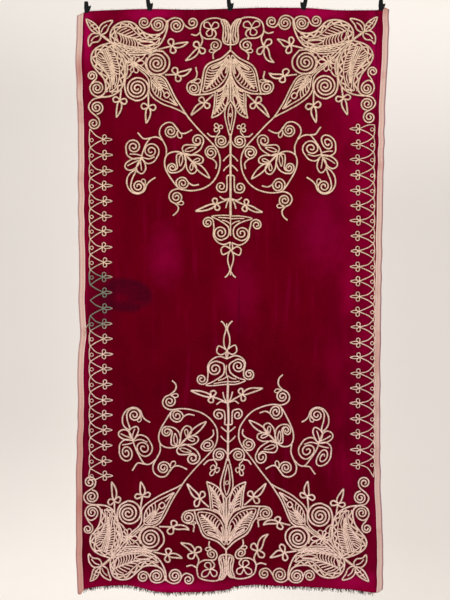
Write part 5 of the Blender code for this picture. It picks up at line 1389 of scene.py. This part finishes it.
def plait_growth() -> Growth:
    """Build the tree that lays a plaited braid along each path."""
    g = Growth("plaited braid", {"Step": 0.0018, "Pitch": 0.0062, "Relief": 0.00022, "Flatness": 0.42})
    paths = g.node("GeometryNodeSetCurveNormal", {"Curve": g.seed_paths(), "Normal": (0.0, -1.0, 0.0)},
                   mode="FREE").outputs[0]
    paths, along = g.captured(paths, g.node("GeometryNodeSplineParameter").outputs["Length"])
    split = g.node("ShaderNodeSeparateXYZ", {0: g.node("GeometryNodeInputPosition").outputs[0]})
    shoulder = g.math("GREATER_THAN", split.outputs[0], 0.0)
    wide = g.math("ADD", 1.70, g.math("MULTIPLY", shoulder, -0.92))
    over = g.math("MULTIPLY", split.outputs[1], wide)
    high = g.math("MULTIPLY", split.outputs[0], g.into["Flatness"])
    flat = g.node("ShaderNodeCombineXYZ", {0: high, 1: over}).outputs[0]
    ring, over = g.captured(g.ring(5), over)
    body = g.tube(paths, g.moved(ring, Position=flat), g.named("half_width"))
    body = g.keep(g.keep(body, "along", along), "over", over)
    turn = g.math("MULTIPLY", g.math("DIVIDE", g.named("along"), g.into["Pitch"]), TAU)
    side = g.math("MULTIPLY", g.math("SIGN", g.named("over")), math.pi / 2)
    lag = g.math("MULTIPLY", g.math("ABSOLUTE", g.named("over")), 2.0)
    wave = g.math("SINE", g.math("ADD", g.math("ADD", turn, side), lag))
    push = g.scaled(g.node("GeometryNodeInputNormal").outputs[0], g.math("MULTIPLY", wave, g.into["Relief"]))
    g.close(g.moved(body, Offset=push))
    return g


def fray_growth() -> Growth:
    """Build the tree that grows ravelled threads along an edge."""
    g = Growth("ravelled threads", {"Count": 700.0, "Length": 0.010, "Lean": 0.6, "Curl": 0.0032,
                                    "Thickness": 0.00022, "Seed": 3.0})
    count = g.node("FunctionNodeFloatToInt", {0: g.into["Count"]}).outputs[0]
    seed = g.node("FunctionNodeFloatToInt", {0: g.into["Seed"]}).outputs[0]
    roots = g.node("GeometryNodeCurveToPoints", {"Curve": g.seed_paths(even=False), "Count": count},
                   mode="COUNT").outputs[0]
    bar = g.node("GeometryNodeCurvePrimitiveLine",
                 {"Start": (0.0, 0.0, 0.0005), "End": (0.0, 0.0, -1.0)}).outputs[0]
    bar = g.node("GeometryNodeResampleCurve", {"Curve": bar, "Count": 5}, mode="COUNT").outputs[0]
    bar, share = g.captured(bar, g.node("GeometryNodeSplineParameter").outputs["Factor"])
    spin = g.random("FLOAT_VECTOR", (-0.5, -0.9, -3.0), (0.5, 0.9, 3.0), seed)
    turned = g.node("FunctionNodeEulerToRotation", {0: g.scaled(spin, g.into["Lean"])}).outputs[0]
    tall = g.math("MULTIPLY", g.random("FLOAT", 0.25, 1.0, g.math("ADD", seed, 1.0)), g.into["Length"])
    size = g.node("ShaderNodeCombineXYZ", {0: 1.0, 1: 1.0, 2: tall}).outputs[0]
    grown = g.node("GeometryNodeInstanceOnPoints", {"Points": roots, "Instance": bar, "Scale": size,
                                                    "Rotation": turned}).outputs[0]
    grown = g.keep(grown, "tone", g.random("FLOAT", 0.0, 1.0, g.math("ADD", seed, 2.0)), "INSTANCE")
    grown = g.node("GeometryNodeRealizeInstances", {0: grown}).outputs[0]
    wander = g.node("ShaderNodeTexNoise", {"Scale": 260.0, "Detail": 1.0}).outputs["Color"]
    wander = g.node("ShaderNodeVectorMath", {0: wander, 1: (0.5, 0.5, 0.5)}, operation="SUBTRACT").outputs[0]
    bend = g.scaled(wander, g.math("MULTIPLY", share, g.math("MULTIPLY", g.into["Curl"], 2.0)))
    thin = g.math("MULTIPLY", g.into["Thickness"], g.math("SUBTRACT", 1.15, g.math("MULTIPLY", share, 0.6)))
    g.close(g.tube(g.moved(grown, Offset=bend), g.ring(4), thin))
    return g


def wire_growth() -> Growth:
    """Build the tree that draws round wire along a path."""
    g = Growth("round wire", {"Radius": 0.0005, "Step": 0.0005})
    g.close(g.tube(g.seed_paths(), g.ring(10), g.into["Radius"]))
    return g


# Sub-assemblies

class Slot(Enum):
    """The record's material slots."""

    VELVET = "crimson_velvet"
    BRAID = "champagne_braid"
    THREADS = "ravelled_threads"
    PLASTIC = "black_plastic"
    STEEL = "dark_steel"


def settle(piece: Thing, slot: Slot, *nodes: str) -> Thing:
    """Let a piece ride on the body and hide the imported nodes that it stands for."""
    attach(piece, "root")
    if nodes:
        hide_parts(*nodes)
    log.info("%s: %d faces", piece.name, len(piece.data.polygons))
    return piece


@dataclass
class VelvetCloth:
    """The velvet with its two woven selvedges, as one sheet."""

    drape: Drape
    columns: int = 126
    rows: int = 240
    selvedge: float = 6.1
    bands: tuple[float, ...] = (0.0, 0.25, 0.5, 0.75, 1.0)
    rim_waver: float = 0.35
    raster: tuple[int, int] = (620, 340)
    raster_origin: tuple[int, int] = (5, 170)

    def __post_init__(self) -> None:
        """Lay out the places of the mesh."""
        self.grid = self.places()

    def places(self) -> np.ndarray:
        """Give the places of all mesh points, as rows by columns by two."""
        inner = np.linspace(0, 1, self.columns)[:, None]
        s = np.linspace(0, 1, self.rows)[:, None]
        edge = np.array(self.bands) * self.selvedge
        v = 8 + s * 583 + np.zeros((1, self.columns + 2 * len(edge) - 2))
        for _ in range(3):
            left, right = eased_table(LEFT_EDGE, v), eased_table(RIGHT_EDGE, v)
            left = left + self.rim_waver * np.sin(v / 5.3 + np.sin(v / 17)) * np.sin(v / 41)
            right = right + self.rim_waver * np.sin(v / 4.7 + 2 * np.sin(v / 23)) * np.sin(v / 37 + 1)
            a = np.empty_like(v)
            k = len(edge)
            a[:, :k] = left[:, :k] + edge
            a[:, -k:] = right[:, -k:] - edge[::-1]
            share = inner[1:-1, 0]
            low, high = left[:, k:-k] + self.selvedge, right[:, k:-k] - self.selvedge
            a[:, k:-k] = low * (1 - share) + high * share
            v = (1 - s) * eased_table(TOP_EDGE, a) + s * eased_table(FOOT_EDGE, a)
        return np.stack([a, v], 2)

    def build(self, pile: Material, woven: Material, back: Material) -> Thing:
        """Make the sheet.

        Args:
            pile: the velvet's face.
            woven: the selvedges.
            back: the velvet's reverse.

        Returns:
            The sheet as a closed mesh.
        """
        rows, wide = self.grid.shape[:2]
        flat = self.grid.reshape(-1, 2)
        front = self.drape.face(flat)
        points = np.vstack([front, front + (0, CLOTH_T, 0)])
        n, k = rows * wide, len(self.bands) - 1
        faces, kinds = [], []
        for r in range(rows - 1):
            for c in range(wide - 1):
                i = r * wide + c
                woven_here = c < k or c >= wide - 1 - k
                faces.append((i, i + wide, i + wide + 1, i + 1))
                faces.append((n + i, n + i + 1, n + i + wide + 1, n + i + wide))
                kinds += [int(woven_here), 1 if woven_here else 2]
        rim = rim_faces(n, wide)
        faces += rim
        kinds += [1] * len(rim)
        sheet = mesh_object("velvet_cloth", points, faces)
        for material in (pile, woven, back):
            sheet.data.materials.append(material)
        sheet.data.polygons.foreach_set("material_index", kinds)
        band = np.zeros((rows, wide))
        band[:, :k + 1] = self.bands
        band[:, -k - 1:] = self.bands[::-1]
        carry(sheet, "band", np.tile(band.reshape(-1), 2))
        shade_smooth(sheet)
        return sheet

    def shade_under(self, sheet: Thing, strands: list[Strand], reach: float = 2.1) -> None:
        """Note on the sheet how closely braid lies round each point, for the painted shade that darkens the pile
        there.

        Args:
            sheet: the finished sheet.
            strands: every strand on it.
            reach: how far a strand's shade spreads.
        """
        down, over = self.raster_origin
        crowd = np.zeros(self.raster)
        for strand in strands:
            p, run = strand.trace()
            at = np.arange(0.25, run[-1], 0.5)
            row, column = (np.interp(at, run, p[:, k]).astype(int) + more for k, more in ((1, down), (0, over)))
            np.add.at(crowd, (row, column), 0.5 * strand.width)
        bell = np.exp(-0.5 * (np.arange(-7, 8) / reach) ** 2)
        for axis in (0, 1):
            crowd = np.apply_along_axis(np.convolve, axis, crowd, bell / bell.sum(), "same")
        flat = self.grid.reshape(-1, 2)
        share = crowd[(flat[:, 1] + down).astype(int), (flat[:, 0] + over).astype(int)]
        carry(sheet, "crowd", np.tile(share, 2))

    def edge_path(self, top: bool, name: str) -> Thing:
        """Make a path along the middle of the upper or lower edge."""
        flat = self.grid[0 if top else -1]
        flat = flat[np.abs(flat[:, 0] + 0.5) < 146.5]
        points = self.drape.face(flat, -CLOTH_T / 2)
        points[:, 2] += -0.0008 if top else 0.0012
        return path_object(name, points)


@dataclass
class BraidWork:
    """Braid couched on the velvet's face."""

    drape: Drape
    growth: Growth
    material: Material
    lift: float = 0.30
    spread: float = 0.00025
    path_step: float = 0.7
    fullness: float = 1.04
    thinnest: float = 1.4

    def place(self, points: np.ndarray, side: int, half: int) -> np.ndarray:
        """Carry a quarter's points to their corner and let them stray as the hand laid them.

        Args:
            points: points of the drawing.
            side: 1 for the left of the axis, -1 for the right.
            half: 1 for the upper half, -1 for the lower.

        Returns:
            The points' places on the cloth.
        """
        flat = points * (side, 1)
        if half < 0:
            flat[:, 1] = MIRROR_V - flat[:, 1]
        if (side, half) not in CORNERS:
            return flat
        corner = CORNERS.index((side, half)) + 1
        at, move = np.array([(row[0], row[corner]) for row in STRAY if row[corner]], float).transpose(1, 0, 2)
        w = 1.0 / (((points[:, None, :] - at) ** 2).sum(2) + 1.0) ** 1.5
        return flat + (w[:, :, None] * move).sum(1) / w.sum(1)[:, None]

    def full(self, width: float) -> float:
        """Give the width at which a strand of the motifs is laid."""
        return width if width < self.thinnest - 0.3 else max(width, self.thinnest) * self.fullness

    def corner(self, side: int, half: int) -> list[Strand]:
        """Give the strands of one corner."""
        return [Strand(self.place(s.points, side, half), s.closed, self.full(s.width))
                for s in CornerDrawing().draw()]

    def middle(self, half: int) -> list[Strand]:
        """Give the strands of one half of the axis."""
        out = []
        for s in MiddleDrawing().draw():
            width = self.full(s.width)
            out.append(Strand(self.place(s.points, 1, half), s.closed, width))
            if np.abs(s.points[:, 0]).max() > 0.01:
                out.append(Strand(self.place(s.points, -1, half), s.closed, width))
        return out

    def even(self, strand: Strand) -> np.ndarray:
        """Space a strand's points evenly."""
        p, run = strand.trace()
        count = max(4, int(math.ceil(run[-1] / self.path_step)))
        at = np.linspace(0, run[-1], count + 1)
        out = np.stack([np.interp(at, run, p[:, k]) for k in (0, 1)], 1)
        return out[:-1] if strand.closed else out

    def build(self, name: str, strands: list[Strand], seed: int) -> Thing:
        """Lay a set of strands.

        Args:
            name: the piece's name.
            strands: the strands on the cloth.
            seed: for the small differences between strands.

        Returns:
            The braid as a plain mesh.
        """
        rng = np.random.default_rng(seed)
        points, edges, widths, tones = [], [], [], []
        for strand in strands:
            p = self.even(strand)
            half = strand.width / 2 * GRID
            above = half * self.lift + rng.uniform(0, self.spread)
            k, n = len(points), len(p)
            points += list(self.drape.face(p, above))
            edges += [(k + i, k + i + 1) for i in range(n - 1)]
            if strand.closed:
                edges.append((k + n - 1, k))
            wander = 1 + 0.05 * np.sin(np.arange(n) * 0.35 + rng.uniform(0, TAU))
            widths += list(half * wander * rng.uniform(0.96, 1.05))
            tones += [rng.uniform(0, 1)] * n
        path = mesh_object(name + "_path", np.array(points), [], edges)
        carry(path, "half_width", widths)
        carry(path, "tone", tones)
        return self.growth.grow(path, name, self.material)


@dataclass
class PinchClip:
    """A plastic pinch clip with a steel pin, its bent prong and a coil spring."""

    number: int
    across: float
    jaw: float
    lean: float
    prong: int
    wall: float = 0.0014
    arch: float = 0.0005
    pin_up: float = 0.0165
    pin_radius: float = 0.00138
    wire_radius: float = 0.00036
    coil_radius: float = 0.00215
    coil_half: float = 0.0045
    coil_turns: int = 5
    shoulder: tuple[Place, ...] = (
        (0.0, 0.0068), (0.0060, 0.0099), (0.0105, 0.0122), (0.0165, 0.0140), (0.0208, 0.0150), (0.0222, 0.0152),
        (0.0228, 0.0090), (0.0236, 0.0069), (0.0345, 0.0062), (0.0370, 0.0056))
    stations: tuple[Point, ...] = (
        (0.0, 0.00145, 0.0056), (0.0015, 0.00145, 0.0058), (0.004, 0.0015, 0.0060), (0.0075, 0.0015, 0.0062),
        (0.0105, 0.0015, 0.0064), (0.0135, 0.0018, 0.0068), (0.0165, 0.0021, 0.0070), (0.0205, 0.0029, 0.0070),
        (0.0255, 0.0038, 0.0068), (0.0305, 0.0047, 0.0065), (0.0345, 0.0053, 0.0062), (0.0370, 0.0056, 0.0056))

    def set_in_place(self, points: np.ndarray) -> np.ndarray:
        """Lean points about the jaw's foot and carry them to the clip's place."""
        c, s = math.cos(math.radians(self.lean)), math.sin(math.radians(self.lean))
        x, y, z = np.asarray(points, float).T
        return np.stack([self.across * GRID + x * c + z * s, y, -self.jaw * GRID - x * s + z * c], 1)

    def leaf(self, side: int, material: Material) -> Thing:
        """Make one leaf, with jaw ribs, arched back, the prong's shoulder and a dished thumb place.

        Args:
            side: -1 toward the viewer, 1 behind.
            material: the plastic.

        Returns:
            The leaf as a closed mesh with rounded edges.
        """
        up = np.array([s[0] for s in self.stations])
        fine = np.linspace(0, up[-1], 48)
        off = np.interp(fine, up, [s[1] for s in self.stations])
        half = np.interp(fine, up, [s[2] for s in self.stations])
        reach = np.interp(fine, *np.array(self.shoulder).T)
        k = np.linspace(-1, 1, 13)
        inner, outer = [], []
        for z, o, h, shoulder in zip(fine, off, half, reach):
            ribs = 0.00018 * math.sin(TAU * z / 0.0018) if 0.001 < z < 0.0085 else 0.0
            dish = 0.0006 * math.exp(-((z - 0.029) / 0.0045) ** 2)
            grip = 0.00016 * math.sin(TAU * z / 0.0014) if z > 0.0245 else 0.0
            for x in k:
                crown = self.arch * (1 - x * x)
                across = x * (shoulder if x * self.prong > 0 else h)
                inner.append((across, side * o, z))
                outer.append((across, side * (o + self.wall * (1 - 0.25 * x * x) + crown * 0.6 + ribs + grip
                                              - dish * (1 - x * x)), z))
        n, wide, tall = len(inner), len(k), len(fine)
        faces = []
        for r in range(tall - 1):
            for c in range(wide - 1):
                i = r * wide + c
                q = (i, i + 1, i + wide + 1, i + wide)
                faces += [q, tuple(n + j for j in reversed(q))]
        faces += rim_faces(n, wide)
        name = f"pinch_clip_{self.number}_{'front' if side < 0 else 'back'}_leaf"
        made = mesh_object(name, self.set_in_place(inner + outer), faces)
        work = bmesh.new()
        work.from_mesh(made.data)
        bmesh.ops.recalc_face_normals(work, faces=work.faces[:])
        sharp = [e for e in work.edges if len(e.link_faces) == 2 and e.calc_face_angle(0) > 0.9]
        bmesh.ops.bevel(work, geom=sharp, offset=0.00028, segments=2, profile=0.6, affect="EDGES")
        work.to_mesh(made.data)
        work.free()
        made.data.materials.append(material)
        shade_smooth(made)
        return made

    def pin(self, wire: Growth, material: Material) -> Thing:
        """Make the pin with its bent prong and the coil spring round it."""
        p, up = self.prong, self.pin_up
        prong = smooth([(-0.0076 * p, up), (0.004 * p, up), (0.0080 * p, up + 0.0004), (0.0112 * p, up + 0.0032),
                        (0.0147 * p, up + 0.0080)], per=6)
        rod = np.stack([prong[:, 0], np.zeros(len(prong)), prong[:, 1]], 1)
        t = np.linspace(0, 1, 120)
        turns, r = TAU * self.coil_turns * t, self.coil_radius
        spring = np.stack([self.coil_half * (2 * t - 1), r * np.cos(turns), up + r * np.sin(turns)], 1)
        parts = []
        for key, path, radius in (("rod", rod, self.pin_radius), ("spring", spring, self.wire_radius)):
            seed = path_object(key, self.set_in_place(path))
            parts.append(wire.grow(seed, f"clip_{self.number}_{key}", material, Radius=radius))
        return merge_down(parts, f"pinch_clip_{self.number}_pin_and_spring")


@dataclass
class Studio:
    """Plain pale floor and backdrop, soft lights and the camera."""

    aim: Place = (-0.018, -0.978)
    reach: float = 5.0
    tall: float = 1.962
    film: float = 36.0
    floor_z: float = -2.75
    front_y: float = -3.5
    wall_y: float = 2.0
    wall_top: float = 1.1
    half_wide: float = 1.35
    bend: float = 0.6
    lamp: Colour = (1.0, 0.985, 0.965)
    air: Colour = (1.0, 0.975, 0.94)
    air_strength: float = 0.55
    pale: Colour = (0.835, 0.80, 0.765)

    def backdrop(self) -> Thing:
        """Make the floor that curves up into the backdrop."""
        s = Shading("plain pale paper")
        level = s.noise(s.vector, 0.01, 2.0)
        s.set(Base_Color=s.blend(level, self.pale, tuple(0.97 * c for c in self.pale)), Roughness=0.95,
              Specular_IOR_Level=0.1)
        turn = np.linspace(0, math.pi / 2, 13)
        y, z, r = self.wall_y - self.bend, self.floor_z + self.bend, self.bend
        profile = [(self.front_y, self.floor_z), *((y + r * math.sin(t), z - r * math.cos(t)) for t in turn),
                   (self.wall_y, self.wall_top)]
        points = [(x, *place) for place in profile for x in (-self.half_wide, self.half_wide)]
        faces = [(2 * i, 2 * i + 1, 2 * i + 3, 2 * i + 2) for i in range(len(profile) - 1)]
        sheet = mesh_object("backdrop", np.array(points), faces)
        sheet.data.materials.append(s.material)
        shade_smooth(sheet)
        return sheet

    def light(self, name: str, at: Point, size: float, power: float) -> None:
        """Add a soft area light that faces the cloth.

        Args:
            name: the light's name.
            at: its place.
            size: its width.
            power: its power in watts.
        """
        lamp = bpy.data.lights.new(name, "AREA")
        lamp.shape, lamp.size, lamp.energy, lamp.color = "DISK", size, power, self.lamp
        thing = place_new(name, lamp)
        thing.location = at
        toward = Vector((self.aim[0], 0, self.aim[1])) - Vector(at)
        thing.rotation_euler = toward.to_track_quat("-Z", "Y").to_euler()

    def camera(self) -> None:
        """Set the camera square in front of the cloth."""
        lens = bpy.data.cameras.new("camera")
        lens.lens = self.film * self.reach / self.tall
        thing = place_new("camera", lens)
        thing.location = (self.aim[0], -self.reach, self.aim[1])
        thing.rotation_euler = Euler((math.pi / 2, 0, 0))
        bpy.context.scene.camera = thing

    def set_up(self) -> None:
        """Make the backdrop, the lights, the world and the camera."""
        self.backdrop()
        self.light("key", (-3.7, -7.5, 0.3), 3.7, 385.0)
        self.light("fill", (4.3, -7.3, -1.7), 3.8, 415.0)
        world = bpy.context.scene.world or bpy.data.worlds.new("soft light")
        bpy.context.scene.world = world
        world.use_nodes = True
        ground = world.node_tree.nodes["Background"]
        ground.inputs["Color"].default_value = (*self.air, 1.0)
        ground.inputs["Strength"].default_value = self.air_strength
        bpy.context.scene.view_settings.view_transform = "Standard"
        self.camera()


def main() -> None:
    """Build, dress and place every piece of the hanging."""
    logging.basicConfig(level=logging.INFO, format="%(name)s %(message)s")
    Studio().set_up()
    drape = Drape()
    cloth = VelvetCloth(drape)
    sheet = cloth.build(VelvetFinish().make(), SelvedgeFinish().make(), ReverseFinish().make())
    settle(sheet, Slot.VELVET, "velvet_panel")

    work = BraidWork(drape, plait_growth(), BraidFinish().make())
    left, right = "left_vine_and_border_braid", "right_vine_and_border_braid"
    laid = (
        ("upper_left_braidwork", work.corner(1, 1), left),
        ("lower_left_braidwork", work.corner(1, -1), left),
        ("left_border_braidwork", BorderDrawing(side=1).draw(), left),
        ("upper_right_braidwork", work.corner(-1, 1), right),
        ("lower_right_braidwork", work.corner(-1, -1), right),
        ("right_border_braidwork", BorderDrawing(side=-1).draw(), right),
        ("upper_middle_braidwork", work.middle(1), "upper_centre_braid"),
        ("lower_middle_braidwork", work.middle(-1), "lower_centre_braid"))
    cloth.shade_under(sheet, [strand for _, strands, _ in laid for strand in strands])
    for seed, (name, strands, node) in enumerate(laid):
        settle(work.build(name, strands, seed), Slot.BRAID, node)

    fray, threads = fray_growth(), ThreadFinish().make()
    lower = fray.grow(cloth.edge_path(False, "hem"), "lower_ravelled_threads", threads, Count=820.0,
                     Thickness=0.0011, Length=0.0145)
    settle(lower, Slot.THREADS, "lower_fray")
    upper = fray.grow(cloth.edge_path(True, "head"), "upper_ravelled_threads", threads,
                      Count=620.0, Length=-0.0075, Curl=0.0030, Thickness=0.00026, Seed=8.0)
    settle(upper, Slot.THREADS)

    plastic, steel, wire, grips = PlasticFinish().make(), SteelFinish().make(), wire_growth(), []
    for number, (across, jaw, lean, prong) in enumerate(CLIPS, 1):
        clip = PinchClip(number, across, jaw, lean, prong)
        for side, word in ((-1, "front"), (1, "back")):
            grips.append(settle(clip.leaf(side, plastic), Slot.PLASTIC, f"clip_{number}_{word}_leaf"))
        settle(clip.pin(wire, steel), Slot.STEEL, f"clip_{number}_spring_pin")


if __name__ == "__main__":
    main()
